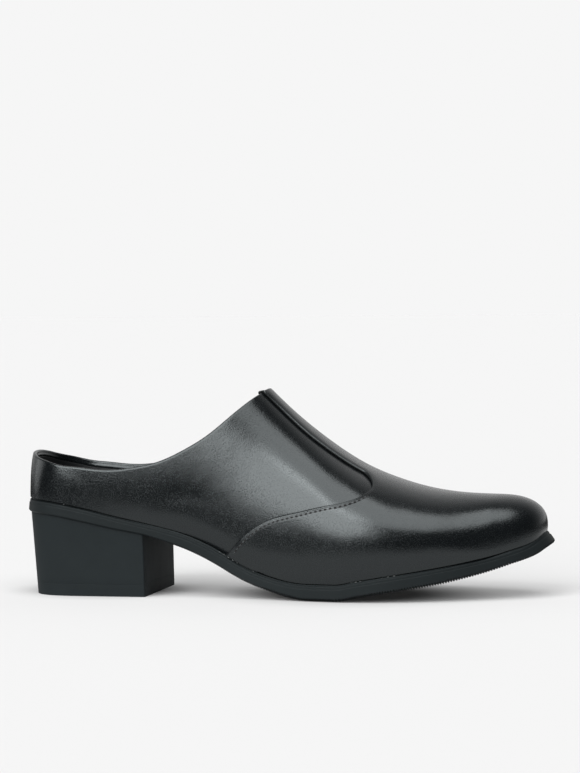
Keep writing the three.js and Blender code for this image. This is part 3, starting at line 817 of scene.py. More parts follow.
class Placer:
    """Moves points from the shoe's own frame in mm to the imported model's frame in metres."""

    def __init__(self) -> None:
        """Starts with no shift."""
        self.shift = np.zeros(3)

    def fit(self, last: Last, node: str) -> None:
        """Works out the shift that lays the outsole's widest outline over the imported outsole.

        Args:
            last: The form the outsole is drawn on.
            node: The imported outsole's name.
        """
        low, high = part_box(node)
        middle = (np.array(low) + np.array(high)) / 2 / MM
        place = np.linspace(0, 4, 2001)
        x, y, _, _ = last.plan(place, 0.0)
        outline = last.under_sole(x, y, last.sole_depth(x) - 0.6)
        own = (outline.min(axis=0) + outline.max(axis=0)) / 2
        self.shift = np.array([middle[0] - own[0], middle[1] - own[1], 0.0])

    def metres(self, points: np.ndarray) -> np.ndarray:
        """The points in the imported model's frame."""
        return (np.asarray(points, float) + self.shift) * MM


PLACER = Placer()


def make_piece(
    name: str,
    points: np.ndarray,
    faces: list[list[int]],
    material: bpy.types.Material,
    replaces: tuple[str, ...] = (),
    marks: dict[str, np.ndarray] | None = None,
    sharp: float = 50.0,
    welded: bool = False,
) -> None:
    """Makes one mesh piece that rides with the shoe.

    Args:
        name: The piece's name.
        points: Its points, in mm in the shoe's own frame.
        faces: Its faces.
        material: Its finish.
        replaces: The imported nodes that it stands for.
        marks: Named numbers, one for each point.
        sharp: Angle in degrees over which an edge stays sharp.
        welded: Whether points that coincide are joined first.
    """
    if welded:
        first, faces = weld(points, faces)
        points = points[first]
    mesh = bpy.data.meshes.new(name)
    mesh.from_pydata(PLACER.metres(points).tolist(), [], faces)
    mesh.update()
    for mark, values in (marks or {}).items():
        layer = mesh.attributes.new(mark, "FLOAT", "POINT")
        layer.data.foreach_set("value", np.asarray(values, np.float32))
    mesh.shade_smooth()
    mesh.set_sharp_from_angle(angle=math.radians(sharp))
    mesh.materials.append(material)
    piece = bpy.data.objects.new(name, mesh)
    bpy.context.scene.collection.objects.link(piece)
    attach(piece, "root")
    if replaces:
        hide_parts(*replaces)
    LOG.info("%s: %d points, %d faces", name, len(points), len(faces))


class Wiring:
    """A material or a sky under construction: short ways to add and join its nodes."""

    def __init__(self, owner: bpy.types.ID, output: str = "OutputMaterial") -> None:
        """Starts with an empty node tree.

        Args:
            owner: The material or the sky.
            output: The Blender type of its last node, without its ShaderNode prefix.
        """
        owner.use_nodes = True
        self.owner = owner
        self.tree = owner.node_tree
        self.tree.nodes.clear()
        self.out = self.tree.nodes.new("ShaderNode" + output)

    @classmethod
    def of(cls, name: str) -> "Wiring":
        """Starts a new material by its name."""
        return cls(bpy.data.materials.new(name))

    def add(self, kind: str, settings: dict | None = None, **inputs: object) -> bpy.types.Node:
        """Adds a node.

        Args:
            kind: The node's Blender type, without its ShaderNode prefix.
            settings: The node's own options.
            **inputs: Values or sockets for its inputs, by name with spaces as underscores.

        Returns:
            The node.
        """
        node = self.tree.nodes.new("ShaderNode" + kind)
        for key, value in (settings or {}).items():
            setattr(node, key, value)
        for key, value in inputs.items():
            self.feed(node, key.replace("_", " "), value)
        return node

    def feed(self, node: bpy.types.Node, name: str, value: object) -> None:
        """Sets or links one input of a node, by its name or by its number.

        Args:
            node: The node.
            name: The input's name, or n and its number.
            value: A value or a socket.
        """
        socket = node.inputs[int(name[1:])] if name[:1] == "n" and name[1:].isdigit() else node.inputs[name]
        if isinstance(value, bpy.types.NodeSocket):
            self.tree.links.new(value, socket)
        else:
            socket.default_value = value

    def math(self, operation: str, a: object, b: object = 0.0, c: object = 0.0) -> bpy.types.NodeSocket:
        """The result of one arithmetic step on numbers or sockets.

        Args:
            operation: Blender's name of the step.
            a: The first number.
            b: The second.
            c: The third.

        Returns:
            The result's socket.
        """
        node = self.add("Math", {"operation": operation})
        for i, value in enumerate((a, b, c)):
            if i < len(node.inputs):
                self.feed(node, f"n{i}", value)
        return node.outputs[0]

    def remap(self, value: object, low: float, high: float, to_low: float, to_high: float) -> object:
        """A value carried from one range to another, clamped and eased.

        Args:
            value: The value.
            low: Start of its range.
            high: End of its range.
            to_low: What the start becomes.
            to_high: What the end becomes.

        Returns:
            The result's socket.
        """
        node = self.add("MapRange", {"interpolation_type": "SMOOTHSTEP"}, Value=value)
        ends = {"From Min": low, "From Max": high, "To Min": to_low, "To Max": to_high}
        for name, number in ends.items():
            node.inputs[name].default_value = number
        return node.outputs[0]

    def grid(self) -> bpy.types.NodeSocket:
        """The object's own coordinates in mm.

        Returns:
            The coordinates' socket.
        """
        node = self.add("TexCoord")
        stretch = self.add("Mapping", Vector=node.outputs["Object"])
        stretch.inputs["Scale"].default_value = (1 / MM,) * 3
        return stretch.outputs[0]

    def noise(self, where: object, scale: float, detail: float = 2.0, rough: float = 0.5) -> object:
        """A noise between 0 and 1, with a scale in cells a millimetre."""
        node = self.add("TexNoise", Vector=where, Scale=scale, Detail=detail, Roughness=rough)
        return node.outputs["Fac"]

    def bump(self, height: object, distance: float, strength: float, after: object = None) -> object:
        """A bump of a height map, its distance in mm.

        Args:
            height: The height map.
            distance: How high it rises, in mm.
            strength: How much of it shows.
            after: A normal that it starts from, if any.

        Returns:
            The normal's socket.
        """
        node = self.add("Bump", Height=height)
        node.inputs["Distance"].default_value = distance * MM
        node.inputs["Strength"].default_value = strength
        if after is not None:
            self.feed(node, "Normal", after)
        return node.outputs[0]

    def mix(self, share: object, a: object, b: object) -> bpy.types.NodeSocket:
        """A colour between two, by a share.

        Args:
            share: 0 for the first, 1 for the second.
            a: The first colour.
            b: The second colour.

        Returns:
            The colour's socket.
        """
        node = self.add("Mix", {"data_type": "RGBA"})
        self.feed(node, "n0", share)
        self.feed(node, "n6", a if isinstance(a, bpy.types.NodeSocket) else (*a, 1.0))
        self.feed(node, "n7", b if isinstance(b, bpy.types.NodeSocket) else (*b, 1.0))
        return node.outputs[2]

    def mark(self, name: str) -> bpy.types.NodeSocket:
        """A named number that the mesh carries."""
        node = self.add("Attribute", {"attribute_name": name})
        return node.outputs["Fac"]

    def finish(self, shader: bpy.types.Node) -> bpy.types.ID:
        """Joins the last shader to the output and gives the material or the sky."""
        self.feed(self.out, "Surface", shader.outputs[0])
        return self.owner


@dataclass(frozen=True)
class PolishedLeather:
    """Smooth black leather with a fine grain that sparkles where it shines."""

    name: str = "polished_leather"
    deep: tuple[float, float, float] = (0.0024, 0.0031, 0.0036)
    worn: tuple[float, float, float] = (0.0048, 0.006, 0.0066)
    # The cut edge's own matt colour, made darker than the leather as painted shade along the vamp's edge.
    cut_edge_shade: tuple[float, float, float] = (0.0015, 0.0017, 0.0018)  # its cut edge
    roughness: float = 0.19
    pebbles: float = 1.9  # in each mm
    fine_pebbles: float = 3.6
    waves: float = 0.055
    clouds: float = 0.35
    grain: float = 0.042  # mm of the pebbles
    wave_height: float = 0.32  # mm of the soft waves
    pores: float = 0.11  # how much rougher the leather is between its pebbles
    pore_span: tuple[float, float] = (0.57, 0.69)  # heights at which a pore ends
    cloud_roughness: float = 0.08
    tint: tuple[float, float, float] = (0.91, 0.985, 1.0)

    def build(self) -> bpy.types.Material:
        """The leather's material.

        Returns:
            The material.
        """
        w = Wiring.of(self.name)
        where = w.grid()
        pebble = w.noise(where, self.pebbles, 0.0, 0.5)
        fine = w.noise(where, self.fine_pebbles, 1.0, 0.6)
        wave = w.noise(where, self.waves, 2.0, 0.5)
        cloud = w.noise(where, self.clouds, 3.0, 0.55)
        height = w.math("MULTIPLY_ADD", fine, 0.6, pebble)
        soft = w.bump(wave, self.wave_height, 0.6)
        grained = w.bump(height, self.grain, 0.9, soft)
        edge = w.mark("edge")
        fold = w.remap(edge, 0.0, 2.2, 1.0, 0.0)
        shade = w.math("MULTIPLY_ADD", cloud, 0.5, w.math("MULTIPLY", fold, 0.25))
        # Painted shade: the cut edge gets the darker colour, and more roughness.
        cut_edge_shade = w.remap(w.mark("cut"), 0.3, 0.5, 0.0, 1.0)
        colour = w.mix(cut_edge_shade, w.mix(shade, self.deep, self.worn), self.cut_edge_shade)
        rough = w.math("MULTIPLY_ADD", cloud, self.cloud_roughness, self.roughness - 0.06)
        pore = w.remap(w.math("MULTIPLY_ADD", fine, 0.4, pebble), *self.pore_span, self.pores, 0.0)
        rough = w.math("ADD", rough, pore)
        rough = w.math("MULTIPLY_ADD", cut_edge_shade, 0.6, rough)
        shader = w.add("BsdfPrincipled", Base_Color=colour, Roughness=rough, Normal=grained)
        shader.inputs["Specular IOR Level"].default_value = 0.5
        shader.inputs["Specular Tint"].default_value = (*self.tint, 1.0)
        return w.finish(shader)


@dataclass(frozen=True)
class MattLining:
    """Black lining leather or sock, matt, with a faint nap."""

    name: str
    colour: tuple[float, float, float] = (0.004, 0.0048, 0.0054)
    roughness: float = 0.6

    def build(self) -> bpy.types.Material:
        """The lining's material.

        Returns:
            The material.
        """
        w = Wiring.of(self.name)
        where = w.grid()
        nap = w.noise(where, 2.6, 3.0, 0.6)
        cloud = w.noise(where, 0.2, 3.0, 0.5)
        lighter = tuple(1.7 * c for c in self.colour)
        colour = w.mix(cloud, self.colour, lighter)
        rough = w.math("MULTIPLY_ADD", cloud, 0.1, self.roughness - 0.05)
        shader = w.add("BsdfPrincipled", Base_Color=colour, Roughness=rough, Normal=w.bump(nap, 0.06, 0.6))
        shader.inputs["Specular IOR Level"].default_value = 0.35
        return w.finish(shader)


@dataclass(frozen=True)
class SatinRubber:
    """Blue-black rubber or moulded plastic with a satin face."""

    name: str
    colour: tuple[float, float, float] = (0.0046, 0.0064, 0.007)
    roughness: float = 0.58
    mottle: float = 0.04
    shine: float = 0.2

    def build(self) -> bpy.types.Material:
        """The rubber's material.

        Returns:
            The material.
        """
        w = Wiring.of(self.name)
        where = w.grid()
        skin = w.noise(where, 2.2, 3.0, 0.6)
        cloud = w.noise(where, 0.12, 4.0, 0.55)
        lighter = tuple(1.3 * c for c in self.colour)
        colour = w.mix(cloud, self.colour, lighter)
        rough = w.math("MULTIPLY_ADD", cloud, 0.14, self.roughness - 0.07)
        soft = w.bump(cloud, 0.2, 0.3)
        shader = w.add("BsdfPrincipled", Base_Color=colour, Roughness=rough)
        w.feed(shader, "Normal", w.bump(skin, self.mottle, 0.5, soft))
        shader.inputs["Specular IOR Level"].default_value = self.shine
        shader.inputs["Specular Tint"].default_value = (0.9, 0.985, 1.0, 1.0)
        return w.finish(shader)


@dataclass(frozen=True)
class PlainFinish:
    """A plain small-part finish with a light mottle: thread, painted hole shade and flecks."""

    name: str
    colour: tuple[float, float, float]
    roughness: float = 0.6

    def build(self) -> bpy.types.Material:
        """The finish's material.

        Returns:
            The material.
        """
        w = Wiring.of(self.name)
        mottle = w.noise(w.grid(), 5.0, 2.0, 0.5)
        colour = w.mix(mottle, self.colour, tuple(1.4 * c for c in self.colour))
        shader = w.add("BsdfPrincipled", Base_Color=colour, Roughness=self.roughness)
        w.feed(shader, "Normal", w.bump(mottle, 0.03, 0.5))
        return w.finish(shader)


@dataclass
class Upper:
    """The two quarters with their collar and lining: one wall round the last."""

    last: Last
    wall: float = 1.8
    heel_stations: int = 56
    side_stations: int = 150
    toe_stations: int = 40
    rows: int = 44
    pad: float = 0.5  # how far the collar's facing swells inwards, just below its edge
    pad_drop: float = 1.7
    pad_width: float = 1.2
    lining_drop: float = 3.6
    lining_thick: float = 0.5

    def throat(self) -> float:
        """Share of the length at which the topline meets the ridge.

        Returns:
            The share.
        """
        last = self.last

        def past(at: np.ndarray) -> np.ndarray:
            """True in front of the throat.

            Args:
                at: Shares of the length.

            Returns:
                One truth for each.
            """
            x = at * last.sole_length
            ridge = np.stack([x, last.curve["spine"](at) * last.ball_width, last.ridge(at)], axis=-1)
            return last.collar_height(ridge) > ridge[..., 2]

        return float(last.solve(np.array(0.43), np.array(0.5), past))

    def places(self) -> np.ndarray:
        """Places round the last, drawn together at the throat.

        Returns:
            The places, rising from 0 to 4.
        """
        last = self.last
        throat = self.throat()
        behind = throat - (throat - last.heel_pole) * np.linspace(1, 0, self.side_stations // 2) ** 1.7
        ahead = blend(throat, last.toe_pole, np.linspace(0, 1, self.side_stations // 2) ** 1.2)
        at = np.concatenate([behind, ahead[1:]])
        outer = last.place_at(at, Side.OUTER)
        toe = np.linspace(1, 2, self.toe_stations)
        inner = last.place_at(at[::-1], Side.INNER)
        heel = np.linspace(3, 4, self.heel_stations)
        return np.concatenate([outer, toe[1:], inner[1:], heel[1:]])

    def top_row(self, place: np.ndarray, drop: float) -> np.ndarray:
        """The row at which the wall ends: the topline less a drop, or the ridge.

        Args:
            place: Places round the last.
            drop: How far below the topline, in mm.

        Returns:
            The rows.
        """
        last = self.last

        def past(row: np.ndarray) -> np.ndarray:
            """True above the topline."""
            p = last.point(place, row)
            return p[..., 2] > last.collar_height(p) - drop

        top = last.solve(np.full(place.shape, 0.02), np.ones(place.shape), past)
        return np.where(top > 1 - 1e-5, 1.0, top)

    def sheet(self, drop: float) -> Sheet:
        """The wall up to a line so far below the topline.

        Args:
            drop: How far below it, in mm.

        Returns:
            The sheet.
        """
        sheet = Sheet(self.last)
        place = self.places()
        top = self.top_row(place, drop)
        share = np.linspace(0, 1, self.rows + 1)
        share = blend(share, 1 - (1 - share) ** 2, 0.35)
        sheet.patch(np.repeat(place[:, None], len(share), axis=1), top[:, None] * share[None, :])
        return sheet

    def build(self, leather: bpy.types.Material, lining: bpy.types.Material) -> None:
        """Makes the quarters, and the lining a step below the collar's turned edge.

        Args:
            leather: The quarters' finish.
            lining: The lining's finish.
        """
        roll = self.wall / 2
        skin = Skin(self.sheet(roll))
        relief = self.last.relief(skin.base)
        bulge = self.pad * np.exp(-(((skin.edge - self.pad_drop) / self.pad_width) ** 2))
        quarters = skin.thicken(relief, relief - self.wall - bulge, 10)
        marks = {"edge": quarters.edge, "cut": 0 * quarters.cut}
        points, faces = quarters.points, quarters.faces
        make_piece("quarters", points, faces, leather, ("upper",), marks)
        inner = -self.wall - self.lining_thick
        cloth = Skin(self.sheet(self.lining_drop)).thicken(-self.wall + 0.02, inner, 4)
        make_piece("quarter_lining", cloth.points, cloth.faces, lining)


@dataclass
class Vamp:
    """The vamp with its strap up the instep, lapped over the quarters, with folded edges."""

    last: Last
    leather: float = 1.5
    corner: float = 3.2
    thin_edge: float = 0.3  # mm by which the folded edge is thinner than the vamp
    close_edge: float = 0.25  # mm by which it lies closer to the quarter
    fold_width: float = 0.75
    end_fold: float = 1.7  # mm by which the strap's folded end is thicker
    end_fold_span: tuple[float, float] = (0.9, 2.3)  # mm past the topline
    groove: float = 0.07  # depth of the stitched groove
    groove_width: float = 0.5
    droop: float = 3.9  # mm by which the strap's end bends down past the quarters
    droop_span: tuple[float, float] = (-0.3, 2.4)  # mm past the topline
    window_stations: int = 120
    toe_stations: int = 48
    fore_stations: int = 60
    low_rows: int = 46
    high_rows: int = 32
    low_crowding: float = 0.78  # how strongly the lower rows crowd towards the seam
    stitch_pitch: float = 2.45
    stitch_inset: float = 1.3
    stitch_long: float = 0.25  # half a stitch's length, in shares of the pitch
    thread_size: tuple[float, float] = (0.2, 0.13)  # mm, half its width and half its height
    # Near-black flat beads between the stitches, painted shade of the stitch holes: size, half length and
    # lift.
    hole_shade_size: tuple[float, float] = (0.45, 0.08)
    hole_shade_long: float = 0.28
    hole_shade_rise: float = 0.05

    @property
    def roll(self) -> float:
        """Radius of the folded edge."""
        return (self.leather - self.thin_edge + self.close_edge) / 2

    def window(self, at: np.ndarray, side: Side) -> tuple[np.ndarray, np.ndarray]:
        """The rows between which the quarter shows: the seam below and the strap's edge above.

        Args:
            at: Shares of the length.
            side: Which side.

        Returns:
            The lower and the upper row, the fold's radius kept inside the vamp.
        """
        last = self.last
        place = last.place_at(at, side)
        low = last.seam(np.maximum(at, last.seam_start)) * last.instep_rise
        low = last.row_at_height(place, np.maximum(low - self.roll, 0))
        half = last.strap(np.maximum(at, STRAP_ROWS[0][0])) * last.strap_width
        high = last.row_at_reach(place, half - self.roll)
        into = 1 - (last.quarter_tip - at) * last.sole_length / last.tip_round
        open_share = np.where(into <= 0, 1.0, np.sqrt(np.clip(1 - into * into, 0, 1)))
        tip = blend(low, high, last.tip_bias)
        return blend(tip, low, open_share), blend(tip, high, open_share)

    def tip_row(self, side: Side) -> float:
        """The row at which the quarter's tip closes."""
        low, _ = self.window(np.array([self.last.quarter_tip]), side)
        return float(low[0])

    def strap_start(self, row_share: np.ndarray, side: Side) -> np.ndarray:
        """Where the strap's end lies, for shares of the way from its edge to the ridge.

        Args:
            row_share: The shares.
            side: Which side.

        Returns:
            Shares of the length.
        """
        last = self.last

        def past(at: np.ndarray) -> np.ndarray:
            """True in front of the strap's end.

            Args:
                at: Shares of the length.

            Returns:
                One truth for each.
            """
            _, high = self.window(at, side)
            p = last.point(last.place_at(at, side), blend(high, 1.0, row_share))
            half = last.strap(np.maximum(at, STRAP_ROWS[0][0])) * last.strap_width
            out = half * (1 - row_share) - (half - self.corner)
            bite = self.corner - np.sqrt(np.clip(self.corner**2 - np.maximum(out, 0) ** 2, 0, None))
            back = last.strap_overhang - self.roll - bite
            return last.collar_height(p, back) > p[..., 2]

        return last.solve(np.full(row_share.shape, 0.4), np.full(row_share.shape, 0.52), past)

    def sheet(self) -> Sheet:
        """The whole vamp in patches that meet at the quarter's tips.

        Returns:
            The sheet.
        """
        last = self.last
        sheet = Sheet(last)
        even = np.linspace(0, 1, self.low_rows + 1)
        low_share = blend(even, 1 - (1 - even) ** 2, self.low_crowding)
        high_share = np.linspace(0, 1, self.high_rows + 1) ** 1.35
        steps = np.linspace(0, 1, self.window_stations + 1)
        sweep = 1 - (1 - steps) ** 1.9
        for side in Side:
            at = blend(last.seam_start, last.quarter_tip, sweep)
            low, _ = self.window(at, side)
            place = np.repeat(last.place_at(at, side)[:, None], len(low_share), axis=1)
            row = low[:, None] * low_share[None, :]
            start = self.strap_start(high_share, side)
            strap_at = blend(start[None, :], last.quarter_tip, sweep[:, None])
            _, high = self.window(strap_at, side)
            strap_row = blend(high, 1.0, high_share[None, :])
            strap_place = last.place_at(strap_at, side)
            fore = blend(last.quarter_tip, last.toe_pole, np.linspace(0, 1, self.fore_stations + 1) ** 1.3)
            shares = self.fore_rows(low_share, high_share, np.full(len(fore), self.tip_row(side)))
            fore_place = np.repeat(last.place_at(fore, side)[:, None], shares.shape[1], axis=1)
            for grid_place, grid_row in ((place, row), (strap_place, strap_row), (fore_place, shares)):
                if side is Side.INNER:
                    grid_place, grid_row = grid_place[::-1], grid_row[::-1]
                sheet.patch(grid_place, grid_row)
        turn = np.linspace(1, 2, self.toe_stations + 1)
        tips = blend(self.tip_row(Side.OUTER), self.tip_row(Side.INNER), turn - 1)
        shares = self.fore_rows(low_share, high_share, tips)
        sheet.patch(np.repeat(turn[:, None], shares.shape[1], axis=1), shares)
        return sheet

    @staticmethod
    def fore_rows(low_share: np.ndarray, high_share: np.ndarray, tip: np.ndarray) -> np.ndarray:
        """Rows of the forepart: those below and those above the tip's row, for each station.

        Args:
            low_share: Shares of the way up to the tip's row.
            high_share: Shares of the way from there to the ridge.
            tip: The tip's row at each station.

        Returns:
            The rows, one line for each station.
        """
        low = tip[:, None] * low_share[None, :]
        high = blend(tip[:, None], 1.0, high_share[None, 1:])
        return np.concatenate([low, high], axis=1)

    def build(self, leather: bpy.types.Material) -> None:
        """Makes the vamp.

        Args:
            leather: Its finish.
        """
        last = self.last
        skin = Skin(self.sheet())
        near = np.exp(-((skin.edge / self.fold_width) ** 2))
        groove = self.groove * np.exp(-(((skin.edge - self.stitch_inset) / self.groove_width) ** 2))
        past = skin.base[:, 2] - last.collar_height(skin.base)
        shift = last.relief(skin.base) - self.droop * ramp(past, *self.droop_span)
        outer = last.seat_gap + self.leather - self.thin_edge * near - groove + shift
        end = self.end_fold * ramp(past, *self.end_fold_span)
        shell = skin.thicken(outer, last.seat_gap - self.close_edge * near + shift - end, 8)
        marks = {"edge": shell.edge, "cut": shell.cut}
        make_piece("vamp_leather", shell.points, shell.faces, leather, ("vamp",), marks)

    def build_stitches(self, thread: bpy.types.Material, hole_shade: bpy.types.Material) -> None:
        """Makes the row of stitches along both sides' lower seam, and dark beads as painted shade of their
        holes.

        Args:
            thread: The thread's finish.
            hole_shade: The dark beads' finish, painted shade of the holes.
        """
        last = self.last
        threads = Beads()
        hole_shades = Beads()
        for side in Side:
            at = np.linspace(last.seam_start + 0.012, last.quarter_tip - 0.006, 400)
            low, _ = self.window(at, side)
            place = last.place_at(at, side)
            point = last.point(place, low)
            foot = last.section(place)["foot"]
            slant = np.gradient(point[:, 2] - foot) / np.gradient(point[:, 0])
            drop = self.stitch_inset * np.hypot(1, slant)
            row = last.row_at_height(place, np.maximum(point[:, 2] - foot - drop, 0.4))
            normal = last.normal(place, row)
            lift = last.seat_gap + self.leather - 0.08
            line = last.point(place, row) + normal * lift
            run = np.concatenate([[0], np.cumsum(np.linalg.norm(np.diff(line, axis=0), axis=1))])
            centres = np.arange(self.stitch_pitch, run[-1] - self.stitch_pitch / 2, self.stitch_pitch)
            for centre in centres:
                ends = centre + np.array([-1, 1]) * self.stitch_long * self.stitch_pitch
                a, b = (np.array([np.interp(e, run, line[:, k]) for k in range(3)]) for e in ends)
                n = np.array([np.interp(centre, run, normal[:, k]) for k in range(3)])
                threads.capsule(a, b, n, *self.thread_size)
                gap = centre + self.stitch_pitch / 2
                h = np.array([np.interp(gap, run, line[:, k]) for k in range(3)]) + self.hole_shade_rise * n
                along = self.hole_shade_long * (b - a) / np.linalg.norm(b - a)
                hole_shades.capsule(h - along, h + along, n, *self.hole_shade_size)
        threads.build("vamp_stitches", thread, "vamp_leather")
        hole_shades.build("stitch_hole_shades", hole_shade, "vamp_leather")


class Beads:
    """Many small rounded bodies, joined in one mesh."""

    def __init__(self) -> None:
        """Starts with none."""
        self.points: list[np.ndarray] = []
        self.faces: list[list[int]] = []
        self.count = 0

    def capsule(self, a: np.ndarray, b: np.ndarray, normal: np.ndarray, wide: float, high: float) -> None:
        """Adds a low capsule.

        Args:
            a: One end of its middle line, in mm.
            b: The other end.
            normal: The way it stands out of the leather.
            wide: Half its width.
            high: Half its height.
        """
        rings, sides = 8, 8
        along = b - a
        length = np.linalg.norm(along)
        along = along / length
        across = np.cross(normal, along)
        across /= np.linalg.norm(across)
        up = np.cross(along, across)
        span = length / 2 + wide
        middle = (a + b) / 2
        points = [middle - span * along]
        for i in range(1, rings):
            t = -1 + 2 * i / rings
            swell = (1 - abs(t) ** 4) ** 0.5
            for j in range(sides):
                angle = 2 * math.pi * j / sides
                ring = wide * math.cos(angle) * across + high * math.sin(angle) * up
                points.append(middle + t * span * along + swell * ring)
        points.append(middle + span * along)
        first = self.count
        last = first + len(points) - 1
        for j in range(sides):
            k = (j + 1) % sides
            self.faces.append([first, first + 1 + k, first + 1 + j])
            for i in range(rings - 2):
                base = first + 1 + i * sides
                self.faces.append([base + j, base + k, base + sides + k, base + sides + j])
            tail = first + 1 + (rings - 2) * sides
            self.faces.append([tail + j, tail + k, last])
        self.points.append(np.array(points))
        self.count += len(points)

    def build(self, name: str, material: bpy.types.Material, slot: str) -> None:
        """Makes the joined mesh.

        Args:
            name: The piece's name.
            material: Its finish.
            slot: Not used.
        """
        make_piece(name, np.concatenate(self.points), self.faces, material, sharp=40)


def round_corners(corners: list[tuple[float, float, float]], steps: int = 4) -> list[tuple[float, float]]:
    """A line through corners, each rounded by its own radius.

    Args:
        corners: Two coordinates and a radius for each corner.
        steps: Steps round each corner.

    Returns:
        The line's points.
    """
    points = []
    for i, (x, y, radius) in enumerate(corners):
        here = np.array([x, y])
        if radius <= 0 or i in (0, len(corners) - 1):
            points.append((x, y))
            continue
        before = np.array(corners[i - 1][:2]) - here
        after = np.array(corners[i + 1][:2]) - here
        a = here + before / np.linalg.norm(before) * min(radius, 0.45 * np.linalg.norm(before))
        b = here + after / np.linalg.norm(after) * min(radius, 0.45 * np.linalg.norm(after))
        for k in range(steps + 1):
            t = k / steps
            points.append(tuple((1 - t) ** 2 * a + 2 * t * (1 - t) * here + t * t * b))
    return points


@dataclass
class Outsole:
    """The rubber outsole: seat, waist, ball and sprung toe, with a stepped side and fine ribs below."""

    last: Last
    bevel_rise: float = 1.1
    bevel_run: float = 2.4
    ledge: float = 0.28
    gap: float = 0.7  # how far the rim lies below the face that the upper stands on
    gap_end: tuple[float, float] = (0.88, 0.95)  # where that gap closes towards the toe
    band: float = 2.2
    breast: float = 64.5
    setback: float = 1.0
    rib_pitch: float = 1.3
    rib_depth: float = 0.9
    rib_recess: float = 0.5  # how far the ribs inside the rim stay above its teeth
    ribs_from: float = 0.47
    rib_start: float = 8.0  # mm over which the first ribs grow
    # Runs of flecks on the outer side: where each starts and ends, in shares of the length, and how many.
    fleck_runs: tuple[tuple[float, float, int], ...] = (
        (0.079, 0.082, 1),
        (0.396, 0.43, 5),
        (0.462, 0.465, 1),
        (0.655, 0.672, 3),
        (0.712, 0.735, 3),
    )
    rim: float = 1.9  # how far in from the bevel the ribbed rim reaches
    toe_push: float = 0.5  # how far the sole's edge stands out at the toe tip
    toe_push_span: tuple[float, float] = (0.986, 1.0)
    low_push: float = 1.0  # how much further its lower edge does
    low_push_span: tuple[float, float] = (0.955, 0.99)
    low_push_depth: tuple[float, float] = (1.5, 5.0)
    front_slope: float = 0.36  # steepest slope that the sole's side follows at the toe
    coarse: int = 80
    heel_stations: int = 90

    def under(self, x: np.ndarray, y: np.ndarray, depth: np.ndarray) -> np.ndarray:
        """Points below the outsole's upper face, with the toe's edge pushed out.

        Args:
            x: Places along the upper face, in mm.
            y: Places across it.
            depth: How far below it, in mm.

        Returns:
            The points.
        """
        share = x / self.last.sole_length
        push = self.low_push * ramp(share, *self.low_push_span) * ramp(depth, *self.low_push_depth)
        points = self.last.under_sole(x, y, depth, self.front_slope)
        points[..., 0] += push + self.toe_push * ramp(share, *self.toe_push_span)
        return points

    def bevel(self, x: np.ndarray) -> tuple[np.ndarray, np.ndarray]:
        """Run and rise of the lower edge's bevel at places along the shoe.

        Args:
            x: Places along the upper face, in mm.

        Returns:
            The runs and the rises, in mm.
        """
        start = ramp(x, self.breast + 4, self.breast + 30)
        share = start * (1 - 0.95 * ramp(x / self.last.sole_length, 0.82, 0.94))
        low = self.setback / 2
        return blend(low, self.bevel_run, share), blend(low, self.bevel_rise, share)

    def teeth(self, place: np.ndarray) -> np.ndarray:
        """Depth of the ribs' ends along the lower edge, counted both ways from the toe tip.

        Args:
            place: Places round the last.

        Returns:
            The depths, in mm.
        """
        x, y, _, _ = self.last.plan(place, 0.0)
        run = np.concatenate([[0], np.cumsum(np.hypot(np.diff(x), np.diff(y)))])
        run = np.abs(run - run[int(x.argmax())])
        wave = 0.5 + 0.5 * np.cos(2 * math.pi * run / self.rib_pitch)
        start = self.ribs_from * self.last.sole_length
        return self.rib_depth * (1 - wave**1.4) * ramp(x, start, start + self.rib_start)

    def profile(self, place: np.ndarray) -> list[np.ndarray]:
        """Rings of the outsole from the middle of its underside to the middle of its top.

        Args:
            place: Places round the last.

        Returns:
            One array of points for each ring.
        """
        last = self.last
        x, y, spine_x, spine_y = last.plan(place, 0.0)
        run, rise = self.bevel(x)
        share = x / last.sole_length
        lift = self.rib_depth * ramp(share, self.ribs_from - 0.01, self.ribs_from + 0.01)
        notch = self.teeth(place)

        def ring(inset: np.ndarray, depth: np.ndarray, from_bottom: bool) -> np.ndarray:
            """Points so far inside the edge, at a depth from the top or a height over the bottom.

            Args:
                inset: How far inside the edge, in mm.
                depth: The depth or the height, in mm.
                from_bottom: Whether it is a height.

            Returns:
                The ring's points.
            """
            px, py, _, _ = last.plan(place, inset)
            down = last.sole_depth(px) - depth if from_bottom else depth + 0 * px
            return self.under(px, py, down)

        rings = []
        inner_x, inner_y, _, _ = last.plan(place, run + self.rim + 0.5)
        for out in (0.0, 0.4, 0.75):
            px, py = blend(spine_x, inner_x, out), blend(spine_y, inner_y, out)
            rings.append(self.under(px, py, last.sole_depth(px) - lift))
        rings.append(ring(run + self.rim + 0.5, lift, True))
        rings.append(ring(run + self.rim + 0.25, lift, True))
        for inset in (self.rim, 0.5 * self.rim, 0.12):
            rings.append(ring(run + inset, notch, True))
        for t in (0.0, 0.5, 0.92):
            rings.append(ring(run * (1 - t), notch + rise * t + 0.02, True))
        rings.append(ring(0 * x, rise + 0.85 * notch + 0.1, True))
        rings.append(ring(0 * x, rise + 0.4 * notch + 0.35, True))
        rings.append(ring(0 * x, rise + 0.7, True))
        side = [(0.0, self.band + 0.9, 0), (0.0, self.band, 0.28), (self.ledge, self.band, 0.1)]
        side += [(self.ledge, self.band - 0.6, 0), (self.ledge, self.gap, 0.4), (1.5, self.gap, 0.1)]
        side += [(1.9, 0.0, 0.1), (3.0, 0.0, 0)]
        closed = 1 - ramp(share, *self.gap_end)
        for inset, depth in round_corners(side):
            rings.append(ring(inset + 0 * x, np.where(depth <= self.gap, depth * closed, depth), False))
        for out in (0.8, 0.55, 0.3, 0.0):
            px, py = blend(spine_x, x, out), blend(spine_y, y, out)
            rings.append(self.under(px, py, 0 * px))
        return rings

